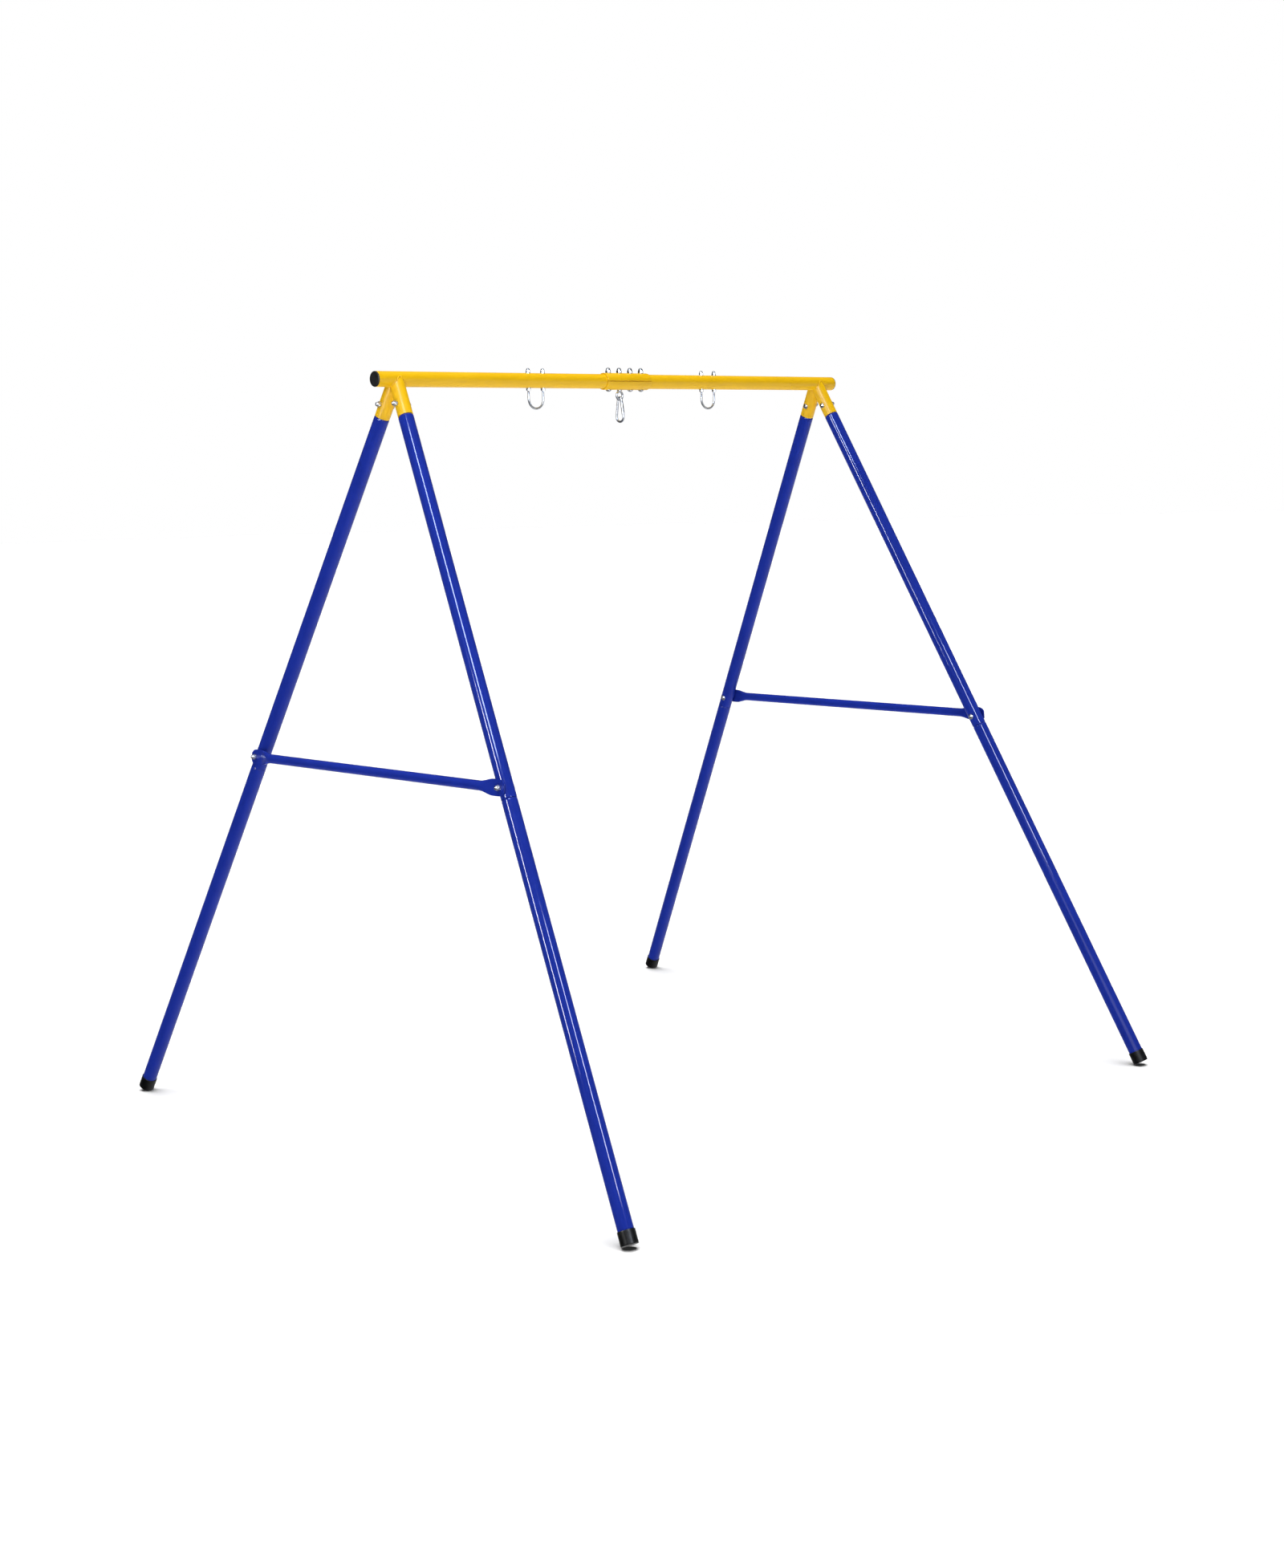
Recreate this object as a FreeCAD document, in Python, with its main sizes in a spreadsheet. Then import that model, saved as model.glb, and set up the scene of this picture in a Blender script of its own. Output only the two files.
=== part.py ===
import FreeCAD, Part
import math
import os
import re

import Sketcher
from FreeCAD import Placement, Rotation, Vector

# A heavy-duty swing stand: a tubular beam in two halves, carried by an A-frame at each end.
# Millimetres, +X along the beam, +Z up, origin on the floor under the middle of the beam.

# Every driving dimension: alias, value, meaning.
DIMENSIONS = [
    ("beam_height", 1910, "beam axis above the floor"),
    ("foot_length", 1980, "spacing of the leg axes at the floor, along the beam"),
    ("foot_depth", 1950, "spacing of the leg axes at the floor, across the beam"),
    ("apex_spacing", 1544, "spacing of the two A-frames at the beam"),
    ("beam_length", 1670, "both beam tubes, without the end caps"),
    ("beam_joint_gap", 1, "gap between the two beam tubes inside the sleeve"),
    ("tube_od", 38, "outside diameter of beam and legs"),
    ("tube_wall", 1.5, "wall of beam and legs"),
    ("socket_step", 0.1, "how much thinner the leg sockets are than the beam, in radius"),
    ("socket_length", 102, "beam axis to the mouth of a leg socket, along the leg"),
    ("socket_bolt_at", 70, "beam axis to the socket bolt, along the leg"),
    ("neck_gap", 0.2, "radial gap of a swaged neck in the tube it enters"),
    ("neck_length", 54, "length of a swaged neck"),
    ("shoulder_length", 4, "length of the cone between tube and neck"),
    ("upper_leg_length", 998, "visible length of an upper leg tube"),
    ("brace_bolt_rise", 28, "brace bolt above the mouth of the upper leg"),
    ("brace_od", 24, "outside diameter of the brace tube"),
    ("brace_wall", 1.2, "wall of the brace tube"),
    ("paddle_width", 40, "flattened end of a brace, across"),
    ("paddle_thickness", 2.6, "flattened end of a brace, through"),
    ("paddle_tip", 17, "flat beyond the bolt hole"),
    ("paddle_root", 18, "flat on the inner side of the bolt hole"),
    ("paddle_blend", 52, "length from flat to round"),
    ("blend_margin", 0.05, "how far a blend's round end stands proud of the tube it meets"),
    ("foot_cap_wall", 1.5, "wall of a foot cap"),
    ("foot_cap_floor", 4, "floor of a foot cap"),
    ("foot_cap_height", 33, "height of a foot cap"),
    ("foot_cap_gap", 0.15, "radial gap of a foot cap on the leg"),
    ("flute_radius", 0.7, "radius of the flutes round a foot cap"),
    ("flute_axis", 0.28, "distance of a flute's axis outside the cap"),
    ("flute_count", 36, "flutes round a foot cap"),
    ("end_cap_lip", 3, "thickness of a beam end cap outside the tube"),
    ("end_cap_rim", 2.2, "rounding of a beam end cap"),
    ("end_cap_plug", 16, "length of a beam end cap inside the tube"),
    ("end_cap_gap", 0.15, "radial gap of the plug in the tube"),
    ("sleeve_length", 160, "length of the clamping sleeve"),
    ("sleeve_wall", 3, "wall of the clamping sleeve"),
    ("sleeve_gap", 0.1, "radial gap of the sleeve on the beam"),
    ("sleeve_split", 2, "gap between the two sleeve shells"),
    ("sleeve_pitch", 40, "spacing of the sleeve bolts"),
    ("bolt_od", 8, "diameter of the frame bolts"),
    ("bolt_gap", 0.25, "radial gap of a bolt in its hole"),
    ("thread_gap", 0.05, "radial gap drawn between a thread and its nut"),
    ("head_radius", 7.5, "radius of a domed bolt head"),
    ("head_height", 5, "height of a domed bolt head"),
    ("nut_flats", 13, "across flats of a cap nut"),
    ("nut_hexagon", 6.5, "height of a cap nut's hexagon"),
    ("nut_dome", 6, "dome radius of a cap nut"),
    ("nut_height", 14, "whole height of a cap nut"),
    ("nut_depth", 10.5, "blind hole of a cap nut"),
    ("bolt_entry", 9, "length of bolt inside a cap nut"),
    ("hanger_at", 318, "middle of the beam to the middle of a U-bolt"),
    ("hanger_spacing", 50, "spacing of the two legs of a U-bolt"),
    ("hanger_rod", 5.6, "rod diameter of a U-bolt"),
    ("hanger_drop", 46, "beam axis to where the bend of a U-bolt starts"),
    ("hanger_gap", 0.3, "radial gap of a U-bolt leg in the beam"),
    ("hanger_flats", 10, "across flats of a U-bolt nut"),
    ("hanger_hexagon", 5, "height of a U-bolt nut"),
    ("hanger_dome", 4.7, "dome radius of a U-bolt cap nut"),
    ("hanger_height", 11, "whole height of a U-bolt cap nut"),
    ("hanger_depth", 8, "blind hole of a U-bolt cap nut"),
    ("hanger_entry", 7, "length of rod inside a U-bolt cap nut"),
    ("washer_radius", 6, "radius of a U-bolt washer"),
    ("washer_thickness", 1.4, "thickness of a U-bolt washer"),
    ("eye_bar", 5.5, "bar diameter of the eyebolt's ring"),
    ("eye_bend", 10.75, "centre line radius of the eyebolt's ring"),
    ("eye_collar", 2.5, "height of the collar above the ring"),
    ("collar_radius", 6.5, "radius of the collar above the ring"),
    ("ring_root", 1, "how far the ring is let into its collar"),
    ("hook_rod", 6, "rod diameter of the snap hook"),
    ("hook_play", 0.3, "gap between the ring and the inside of the hook"),
    ("hook_bend", 13, "centre line radius of the hook's wide end"),
    ("hook_centres", 45, "spacing of the hook's two bend centres"),
    ("tang_root", 2, "how far a flat of the hook reaches into its rod"),
    ("tang_relief", 0.4, "how much the flat at the pivot is rounded below the rod's radius"),
    ("tang_width", 2.4, "flats of the hook inside the gate's fork"),
    ("fork_slot", 3, "slot of the gate"),
    ("gate_width", 7.6, "gate measured along its pin"),
    ("gate_depth", 6.6, "gate measured across its pin"),
    ("gate_stub", 4.5, "hook rod between the narrow bend and its flat"),
    ("gate_pivot", 9, "narrow bend to the gate pin, along the gate"),
    ("gate_end", 40, "narrow bend to the free end of the gate"),
    ("gate_end_gap", 0.6, "gap between the gate's free end and the nose"),
    ("gate_slot_depth", 6, "depth of the slot at each end of the gate"),
    ("nose_tang", 3.5, "length of the nose's flat inside the gate"),
    ("nose_depth", 4, "the nose's flat measured across the gate"),
    ("pin_radius", 1, "gate pin"),
    ("pin_gap", 0.05, "running gap of the gate on its pin"),
    ("spring_wire", 0.5, "gate spring wire diameter"),
    ("spring_bend", 1.3, "gate spring centre line radius"),
    ("spring_length", 10, "gate spring length"),
    ("spring_pitch", 1.6, "gate spring pitch"),
    ("spring_gap", 0.3, "gap round the gate spring"),
]

ALIASES = {alias for alias, _, _ in DIMENSIONS}

# Lengths that several pieces share, as expressions in the sheet's aliases.
TUBE = "(tube_od / 2)"
BORE = "(tube_od / 2 - tube_wall)"
SOCKET = "(tube_od / 2 - socket_step)"
CAP = "(tube_od / 2 + foot_cap_gap + foot_cap_wall)"
SLEEVE = "(tube_od / 2 + sleeve_gap + sleeve_wall)"
BOLT_HOLE = "(bolt_od / 2 + bolt_gap)"
HANGER_HOLE = "(hanger_rod / 2 + hanger_gap)"
SPLAY = "((foot_length - apex_spacing) / 2)"
SLOPE = f"sqrt(beam_height ^ 2 + {SPLAY} ^ 2)"
AXIS = f"sqrt(beam_height ^ 2 + {SPLAY} ^ 2 + (foot_depth / 2) ^ 2)"

# Stations down a leg, measured from the beam axis. A leg stops where the lowest edge of its
# foot cap, which is square to the leg, meets the floor.
LEG_JOINT = "(socket_length + upper_leg_length)"
BRACE_BOLT = "(socket_length + upper_leg_length - brace_bolt_rise)"
CAP_END = f"({AXIS} - {CAP} * tan(acos(beam_height / {AXIS})))"
LEG_END = f"({CAP_END} - foot_cap_floor)"

# A brace's flat end is square for half its width and rounded on both sides of that.
PADDLE_ROUND = "sqrt(paddle_tip ^ 2 + (paddle_width / 4) ^ 2)"

# Heights below the beam axis on the eyebolt, and the snap hook's narrow bend.
EYE_CENTRE = f"({SLEEVE} + eye_collar + eye_bend + eye_bar / 2 - ring_root)"
HOOK_HANG = f"({SLEEVE} + eye_collar + 2 * eye_bend + eye_bar / 2 - ring_root)"
HOOK_TOP = "(eye_bar / 2 + hook_play + hook_rod / 2)"

ALONG = Vector(1, 0, 0)
ACROSS = Vector(0, 1, 0)
UP = Vector(0, 0, 1)

SIDES = ("left", "right")
ENDS = ("front", "rear")
CORNERS = [(side, end) for side in SIDES for end in ENDS]

doc = FreeCAD.newDocument("SwingSet")
sheet = doc.addObject("Spreadsheet::Sheet", "Sizes")
for row, (alias, value, meaning) in enumerate(DIMENSIONS, start=1):
    sheet.set(f"A{row}", meaning)
    sheet.set(f"B{row}", str(value))
    sheet.setAlias(f"B{row}", alias)
doc.recompute()

subparts = []


# ---------------------------------------------------------------- sizes and places


def in_sheet(expression):
    """Writes the sheet's name before each alias of an expression."""
    return re.sub("[a-z_]+", lambda word: ("Sizes." if word[0] in ALIASES else "") + word[0], expression)


def size(expression):
    """The value of an expression in the sheet's aliases, in millimetres or degrees."""
    value = sheet.evalExpression(in_sheet(expression))
    return float(getattr(value, "Value", value))


def bind(feature, **expressions):
    """Binds properties of an object to expressions in the sheet's aliases."""
    for name, expression in expressions.items():
        feature.setExpression(name, in_sheet(expression))
    return feature


def turn(axis, degrees):
    return Placement(Vector(), Rotation(axis, degrees))


def shift(x=0, y=0, z=0):
    return Placement(Vector(x, y, z), Rotation())


def frame_place(side):
    """Origin on the beam axis, local X outwards, local Z up the slope of the A-frame."""
    tilt = size(f"atan({SPLAY} / beam_height)")
    right = shift(size("apex_spacing / 2"), 0, size("beam_height")) * turn(ACROSS, -tilt)
    return right if side == "right" else turn(UP, 180) * right


def leg_place(side, end):
    """Origin on the beam axis, local -Z down the leg; front legs stand at -Y."""
    spread = size(f"atan(foot_depth / 2 / {SLOPE})")
    towards_local_y = (side == "right") == (end == "rear")
    return frame_place(side) * turn(ALONG, spread if towards_local_y else -spread)


# ---------------------------------------------------------------- drawing helpers


def keep(solid, label):
    """Marks an object as a sub-part, whose label is the node's name."""
    solid.Label = label
    subparts.append(solid)
    return solid


def cylinder(name, radius, length, place=Placement()):
    rod = doc.addObject("Part::Cylinder", name)
    bind(rod, Radius=radius, Height=length)
    rod.Placement = place
    return rod


def box(name, x_size, y_size, z_size, place=Placement()):
    """A block centred on its local origin."""
    block = doc.addObject("Part::Box", name)
    bind(block, Length=x_size, Width=y_size, Height=z_size)
    block.Placement = place * shift(-size(x_size) / 2, -size(y_size) / 2, -size(z_size) / 2)
    return block


def ring_arc(name, bend, rod_radius, sweep, place=Placement()):
    """Part of a ring in local XY, swept anticlockwise from local X."""
    arc = doc.addObject("Part::Torus", name)
    bind(arc, Radius1=bend, Radius2=rod_radius, Angle3=sweep)
    arc.Placement = place
    return arc


def fuse(name, pieces):
    joined = doc.addObject("Part::MultiFuse", name)
    joined.Shapes = pieces
    return joined


def cut(name, base, tool):
    rest = doc.addObject("Part::Cut", name)
    rest.Base = base
    rest.Tool = tool
    return rest


def common(name, pieces):
    shared = doc.addObject("Part::MultiCommon", name)
    shared.Shapes = pieces
    return shared


def group(label, pieces):
    """Identical loose pieces that share one node."""
    together = doc.addObject("Part::Compound", label + "_group")
    together.Links = pieces
    return keep(together, label)


def new_body(label):
    return keep(doc.addObject("PartDesign::Body", label), label)


def sketch_on(body, role, name):
    sketch = body.newObject("Sketcher::SketchObject", name)
    plane = next(item for item in body.Origin.OriginFeatures if item.Role == role)
    sketch.AttachmentSupport = [(plane, "")]
    sketch.MapMode = "FlatFace"
    return sketch


def tie_point(sketch, geometry, point, x, y):
    """Ties a sketch point to the sheet; the coordinate "0" puts it on the sketch's axis."""
    for letter, kind, axis, expression in (("x", "DistanceX", -2, x), ("y", "DistanceY", -1, y)):
        if expression == "0":
            sketch.addConstraint(Sketcher.Constraint("PointOnObject", geometry, point, axis))
            continue
        number = sketch.addConstraint(Sketcher.Constraint(kind, geometry, point, size(expression)))
        name = f"{letter}{geometry}_{point}"
        sketch.renameConstraint(number, name)
        sketch.setExpression(f"Constraints.{name}", in_sheet(expression))


def outline(sketch, corners):
    """A closed outline of straight edges; each corner is a pair of expressions."""
    places = [Vector(size(x), size(y), 0) for x, y in corners]
    count = len(corners)
    for number in range(count):
        sketch.addGeometry(Part.LineSegment(places[number], places[(number + 1) % count]), False)
    for number in range(count):
        sketch.addConstraint(Sketcher.Constraint("Coincident", number, 2, (number + 1) % count, 1))
    for number, (x, y) in enumerate(corners):
        tie_point(sketch, number, 1, x, y)


def turned(body, name, corners):
    """Revolves an outline in local XZ about local Z."""
    sketch = sketch_on(body, "XZ_Plane", name + "Sketch")
    outline(sketch, corners)
    solid = body.newObject("PartDesign::Revolution", name)
    solid.Profile = sketch
    solid.ReferenceAxis = (sketch, ["V_Axis"])
    solid.Angle = 360
    return solid


def round_hole(body, role, name, radius, x, y):
    """Cuts one round hole right through, square to an origin plane."""
    sketch = sketch_on(body, role, name + "Sketch")
    sketch.addGeometry(Part.Circle(Vector(size(x), size(y), 0), UP, size(radius)), False)
    tie_point(sketch, 0, 3, x, y)
    number = sketch.addConstraint(Sketcher.Constraint("Radius", 0, size(radius)))
    sketch.renameConstraint(number, "hole_radius")
    sketch.setExpression("Constraints.hole_radius", in_sheet(radius))
    pocket = body.newObject("PartDesign::Pocket", name)
    pocket.Profile = sketch
    pocket.Type = "ThroughAll"
    pocket.SideType = "Symmetric"
    return pocket


# ---------------------------------------------------------------- fasteners


def domed_bolt(name, grip, place):
    """Domed head below local Z = 0, shank up through the grip and into the nut."""
    sphere = "((head_radius ^ 2 + head_height ^ 2) / (2 * head_height))"
    head = doc.addObject("Part::Sphere", name + "Head")
    bind(head, Radius=sphere, Angle1=f"asin(1 - head_height / {sphere})")
    head.Placement = turn(ALONG, 180) * shift(z=size(f"head_height - {sphere}"))
    shank = cylinder(name + "Shank", "bolt_od / 2", f"{grip} + bolt_entry")
    bolt = fuse(name, [head, shank])
    bolt.Placement = place
    return bolt


def cap_nut(name, place, flats, hexagon, dome, rise, thread, depth):
    """Hexagon with a dome over a blind thread; the open end is at local Z = 0."""
    prism = doc.addObject("Part::Prism", name + "Hexagon")
    prism.Polygon = 6
    bind(prism, Circumradius=f"{flats} / sqrt(3)", Height=hexagon)
    collar = cylinder(name + "Collar", dome, f"{rise} - {dome}")
    ball = doc.addObject("Part::Sphere", name + "Ball")
    bind(ball, Radius=dome)
    ball.Placement = shift(z=size(f"{rise} - {dome}"))
    upper = cylinder(name + "Upper", f"2 * {dome}", rise)
    dome_solid = common(name + "Dome", [fuse(name + "Round", [collar, ball]), upper])
    nut = cut(name, fuse(name + "Blank", [prism, dome_solid]),
              cylinder(name + "Thread", f"{thread} / 2 + thread_gap", depth))
    nut.Placement = place
    return nut


def frame_nut(name, place):
    return cap_nut(name, place, "nut_flats", "nut_hexagon", "nut_dome", "nut_height", "bolt_od", "nut_depth")


def ring(name, outer, inner, thickness, place):
    """A plain washer standing on local Z = 0."""
    washer = cut(name, cylinder(name + "Disc", outer, thickness), cylinder(name + "Hole", inner, thickness))
    washer.Placement = place
    return washer


# ---------------------------------------------------------------- beam


def socket_rod(name, radius, end):
    """A rod from the beam axis to a socket's mouth, for the right half."""
    return cylinder(name, radius, "socket_length", leg_place("right", end) * turn(ALONG, 180))


def beam_half(side):
    """One beam tube with two leg sockets welded on, drawn on the right and turned for the left."""
    length = "((beam_length - beam_joint_gap) / 2)"
    height = size("beam_height")
    along = shift(size("beam_joint_gap / 2"), 0, height) * turn(ACROSS, 90)
    tube = cut(f"{side}BeamTube", cylinder(f"{side}BeamOutside", TUBE, length, along),
               cylinder(f"{side}BeamInside", BORE, length, along))
    outer = [socket_rod(f"{side}{end}SocketOutside", SOCKET, end) for end in ENDS]
    inner = [socket_rod(f"{side}{end}SocketInside", BORE, end) for end in ENDS]
    inner.append(cylinder(f"{side}BeamSaddle", TUBE, length, along))
    sockets = cut(f"{side}Sockets", fuse(f"{side}SocketsOutside", outer),
                  fuse(f"{side}SocketsInside", inner))
    drills = []
    for end in ENDS:
        place = leg_place("right", end) * shift(-size("tube_od"), 0, -size("socket_bolt_at"))
        drills.append(cylinder(f"{side}{end}Drill", BOLT_HOLE, "2 * tube_od", place * turn(ACROSS, 90)))
    uprights = [("sleeve_pitch / 2", BOLT_HOLE), ("1.5 * sleeve_pitch", BOLT_HOLE),
                ("hanger_at - hanger_spacing / 2", HANGER_HOLE),
                ("hanger_at + hanger_spacing / 2", HANGER_HOLE)]
    for number, (station, radius) in enumerate(uprights):
        place = shift(size(station), 0, height - size("tube_od"))
        drills.append(cylinder(f"{side}Upright{number}", radius, "2 * tube_od", place))
    half = cut(f"{side}BeamHalf", fuse(f"{side}BeamWelded", [tube, sockets]),
               fuse(f"{side}BeamDrills", drills))
    if side == "left":
        half.Placement = turn(UP, 180)
    return keep(half, f"beam_{side}_half")


def rim_edge(feature, radius, station):
    """The name of the circular edge about local Z with this radius at this height."""
    for number, edge in enumerate(feature.Shape.Edges, start=1):
        if not isinstance(edge.Curve, Part.Circle):
            continue
        radius_error = abs(edge.Curve.Radius - size(radius))
        height_error = abs(edge.Curve.Center.z - size(station))
        if radius_error < 1e-6 and height_error < 1e-6:
            return f"Edge{number}"
    raise ValueError(f"{feature.Label} has no edge of radius {radius} at {station}")


def end_cap(side):
    """A disc with a rounded rim over the tube's end, and a plug inside it."""
    body = new_body(f"end_cap_{side}")
    plug = f"({BORE} - end_cap_gap)"
    turned(body, "Cap", [("0", "-end_cap_plug"), (plug, "-end_cap_plug"), (plug, "0"),
                         (TUBE, "0"), (TUBE, "end_cap_lip"), ("0", "end_cap_lip")])
    doc.recompute()
    solid = body.Tip
    rim = body.newObject("PartDesign::Fillet", "Rim")
    rim.Base = (solid, [rim_edge(solid, TUBE, "end_cap_lip")])
    bind(rim, Radius="end_cap_rim")
    place = shift(size("beam_length / 2"), 0, size("beam_height")) * turn(ACROSS, 90)
    body.Placement = place if side == "right" else turn(UP, 180) * place


# ---------------------------------------------------------------- sleeve

SLEEVE_STATIONS = [f"{factor} * sleeve_pitch" for factor in (-1.5, -0.5, 0.5, 1.5)]
EYE_STATION = SLEEVE_STATIONS[1]


def sleeve_shell(label, half_turn):
    """Half of the split sleeve, drilled for its bolts."""
    along = shift(-size("sleeve_length / 2"), 0, 0) * turn(ACROSS, 90)
    pipe = cut(label + "Pipe", cylinder(label + "Outside", SLEEVE, "sleeve_length", along),
               cylinder(label + "Inside", "tube_od / 2 + sleeve_gap", "sleeve_length", along))
    half = box(label + "Half", "sleeve_length", f"3 * {SLEEVE}", f"2 * {SLEEVE}",
               shift(z=size(f"{SLEEVE} + sleeve_split / 2")))
    drills = [cylinder(f"{label}Drill{number}", BOLT_HOLE, f"2 * {SLEEVE}", shift(size(station)))
              for number, station in enumerate(SLEEVE_STATIONS)]
    shell = cut(label + "Drilled", common(label + "Blank", [pipe, half]), fuse(label + "Drills", drills))
    shell.Placement = shift(z=size("beam_height")) * turn(ALONG, half_turn)
    return keep(shell, label)


def sleeve_fasteners():
    """Bolts from below with cap nuts on top; the eyebolt takes one of the four places."""
    height = size("beam_height")
    bolts = []
    nuts = []
    for number, station in enumerate(SLEEVE_STATIONS):
        if station != EYE_STATION:
            place = shift(size(station), 0, height - size(SLEEVE))
            bolts.append(domed_bolt(f"SleeveBolt{number}", f"2 * {SLEEVE}", place))
        nuts.append(frame_nut(f"SleeveNut{number}", shift(size(station), 0, height + size(SLEEVE))))
    group("sleeve_bolts", bolts)
    group("sleeve_nuts", nuts)


def eyebolt():
    """Shank, collar and closed ring; the ring lies in the plane of the beam."""
    place = shift(size(EYE_STATION), 0, size("beam_height"))
    low = shift(z=-size(f"{SLEEVE} + eye_collar"))
    shank = cylinder("EyeShank", "bolt_od / 2", f"2 * {SLEEVE} + bolt_entry", shift(z=-size(SLEEVE)))
    collar = cylinder("EyeCollar", "collar_radius", "eye_collar", low)
    eye = ring_arc("EyeRing", "eye_bend", "eye_bar / 2", "360",
                   shift(z=-size(EYE_CENTRE)) * turn(ALONG, 90))
    bolt = fuse("Eyebolt", [shank, collar, eye])
    bolt.Placement = place
    keep(bolt, "hook_eyebolt")


# ---------------------------------------------------------------- U-bolts

HANGER_LEGS = [(side, leg) for side in (-1, 1) for leg in (-1, 1)]


def u_bolt(side):
    """Two straight legs through the beam, joined by a half-round bend below it."""
    middle = size("hanger_at") * (1 if side == "right" else -1)
    drop = size("hanger_drop")
    rise = f"hanger_drop + {TUBE} + washer_thickness + hanger_entry"
    legs = [cylinder(f"{side}HangerLeg{sign}", "hanger_rod / 2", rise,
                     shift(sign * size("hanger_spacing / 2"), 0, -drop)) for sign in (-1, 1)]
    bend = ring_arc(f"{side}HangerBend", "hanger_spacing / 2", "hanger_rod / 2", "180",
                    shift(z=-drop) * turn(ALONG, -90))
    bolt = fuse(f"{side}Hanger", legs + [bend])
    bolt.Placement = shift(middle, 0, size("beam_height"))
    keep(bolt, f"u_bolt_{side}")


def u_bolt_fasteners():
    """A washer and a cap nut above the beam, a washer and a plain nut below it, on each leg."""
    cap_nuts = []
    plain_nuts = []
    washers = []
    for side, leg in HANGER_LEGS:
        name = f"Hanger{'Left' if side < 0 else 'Right'}{'Outer' if side == leg else 'Inner'}"
        station = side * size("hanger_at") + leg * size("hanger_spacing / 2")
        top = shift(station, 0, size(f"beam_height + {TUBE}"))
        bottom = shift(station, 0, size(f"beam_height - {TUBE}")) * turn(ALONG, 180)
        above_washer = shift(z=size("washer_thickness"))
        washers.append(ring(name + "TopWasher", "washer_radius", HANGER_HOLE, "washer_thickness", top))
        washers.append(ring(name + "LowWasher", "washer_radius", HANGER_HOLE, "washer_thickness", bottom))
        cap_nuts.append(cap_nut(name + "CapNut", top * above_washer, "hanger_flats", "hanger_hexagon",
                                "hanger_dome", "hanger_height", "hanger_rod", "hanger_depth"))
        prism = doc.addObject("Part::Prism", name + "Prism")
        prism.Polygon = 6
        bind(prism, Circumradius="hanger_flats / sqrt(3)", Height="hanger_hexagon")
        nut = cut(name + "Nut", prism,
                  cylinder(name + "NutThread", "hanger_rod / 2 + thread_gap", "hanger_hexagon"))
        nut.Placement = bottom * above_washer
        plain_nuts.append(nut)
    group("u_bolt_cap_nuts", cap_nuts)
    group("u_bolt_lower_nuts", plain_nuts)
    group("u_bolt_washers", washers)


# ---------------------------------------------------------------- legs and foot caps


def leg_tube(label, place, top, bottom, holes):
    """A tube swaged to a neck at its upper end; stations run down the leg from the beam axis."""
    body = new_body(label)
    neck = f"({BORE} - neck_gap)"
    neck_bore = f"({BORE} - neck_gap - tube_wall)"
    turned(body, "Tube", [
        (neck, f"-({top} - neck_length)"),
        (neck, f"-{top}"),
        (TUBE, f"-({top} + shoulder_length)"),
        (TUBE, f"-{bottom}"),
        (BORE, f"-{bottom}"),
        (BORE, f"-({top} + shoulder_length)"),
        (neck_bore, f"-{top}"),
        (neck_bore, f"-({top} - neck_length)"),
    ])
    for name, station in holes:
        round_hole(body, "YZ_Plane", name, BOLT_HOLE, "0", f"-{station}")
    body.Placement = place


def leg(side, end):
    place = leg_place(side, end)
    socket_hole = ("SocketHole", "socket_bolt_at")
    brace_hole = ("BraceHole", BRACE_BOLT)
    leg_tube(f"upper_leg_{side}_{end}", place, "socket_length", LEG_JOINT, [socket_hole, brace_hole])
    leg_tube(f"lower_leg_{side}_{end}", place, LEG_JOINT, LEG_END, [brace_hole])


def foot_cap(side, end):
    """A fluted cup pushed over the leg's end; its floor starts at local Z = 0."""
    body = new_body(f"foot_cap_{side}_{end}")
    inside = f"({TUBE} + foot_cap_gap)"
    turned(body, "Cup", [("0", "0"), (CAP, "0"), (CAP, "foot_cap_height"), (inside, "foot_cap_height"),
                         (inside, "foot_cap_floor"), ("0", "foot_cap_floor")])
    flute = round_hole(body, "XY_Plane", "Flute", "flute_radius", f"{CAP} + flute_axis", "0")
    flutes = body.newObject("PartDesign::PolarPattern", "Flutes")
    flutes.Originals = [flute]
    flutes.Axis = (flute.Profile[0], ["N_Axis"])
    flutes.Angle = 360
    bind(flutes, Occurrences="flute_count")
    body.Tip = flutes
    body.Placement = leg_place(side, end) * shift(z=-size(CAP_END))


# ---------------------------------------------------------------- braces and leg fasteners

BLEND_STEPS = 5


def brace_end(name, sign, span):
    """Flat end with a round tip, and the blend to the round tube; the brace runs along local Y."""
    hole = shift(y=sign * span)
    pointing = turn(ALONG, -90 * sign)
    flat = box(name + "Flat", "paddle_thickness", "paddle_root + paddle_tip", "paddle_width",
               hole * shift(y=sign * size("(paddle_tip - paddle_root) / 2")))
    disc = cylinder(name + "Disc", PADDLE_ROUND, "paddle_thickness",
                    hole * shift(x=-size("paddle_thickness / 2")) * turn(ACROSS, 90))
    rest = box(name + "Rest", "paddle_thickness", "3 * paddle_root", "paddle_width",
               hole * shift(y=-sign * size("1.5 * paddle_root")))
    paddle = common(name + "Paddle", [flat, fuse(name + "Outline", [disc, rest])])
    sections = []
    for step in range(BLEND_STEPS + 1):
        share = (1 - math.cos(math.pi * step / BLEND_STEPS)) / 2
        section = doc.addObject("Part::Ellipse", f"{name}Section{step}")
        wide = f"paddle_width / 2 + {share} * ((brace_od - paddle_width) / 2 + 2 * blend_margin)"
        thin = f"paddle_thickness / 2 + {share} * ((brace_od - paddle_thickness) / 2 + blend_margin)"
        bind(section, MajorRadius=wide, MinorRadius=thin)
        station = size(f"paddle_root + paddle_blend * {step / BLEND_STEPS}")
        section.Placement = hole * shift(y=-sign * station) * pointing * turn(UP, 90)
        sections.append(section)
    blend = doc.addObject("Part::Loft", name + "Blend")
    blend.Sections = sections
    blend.Solid = True
    return [paddle, blend]


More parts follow.
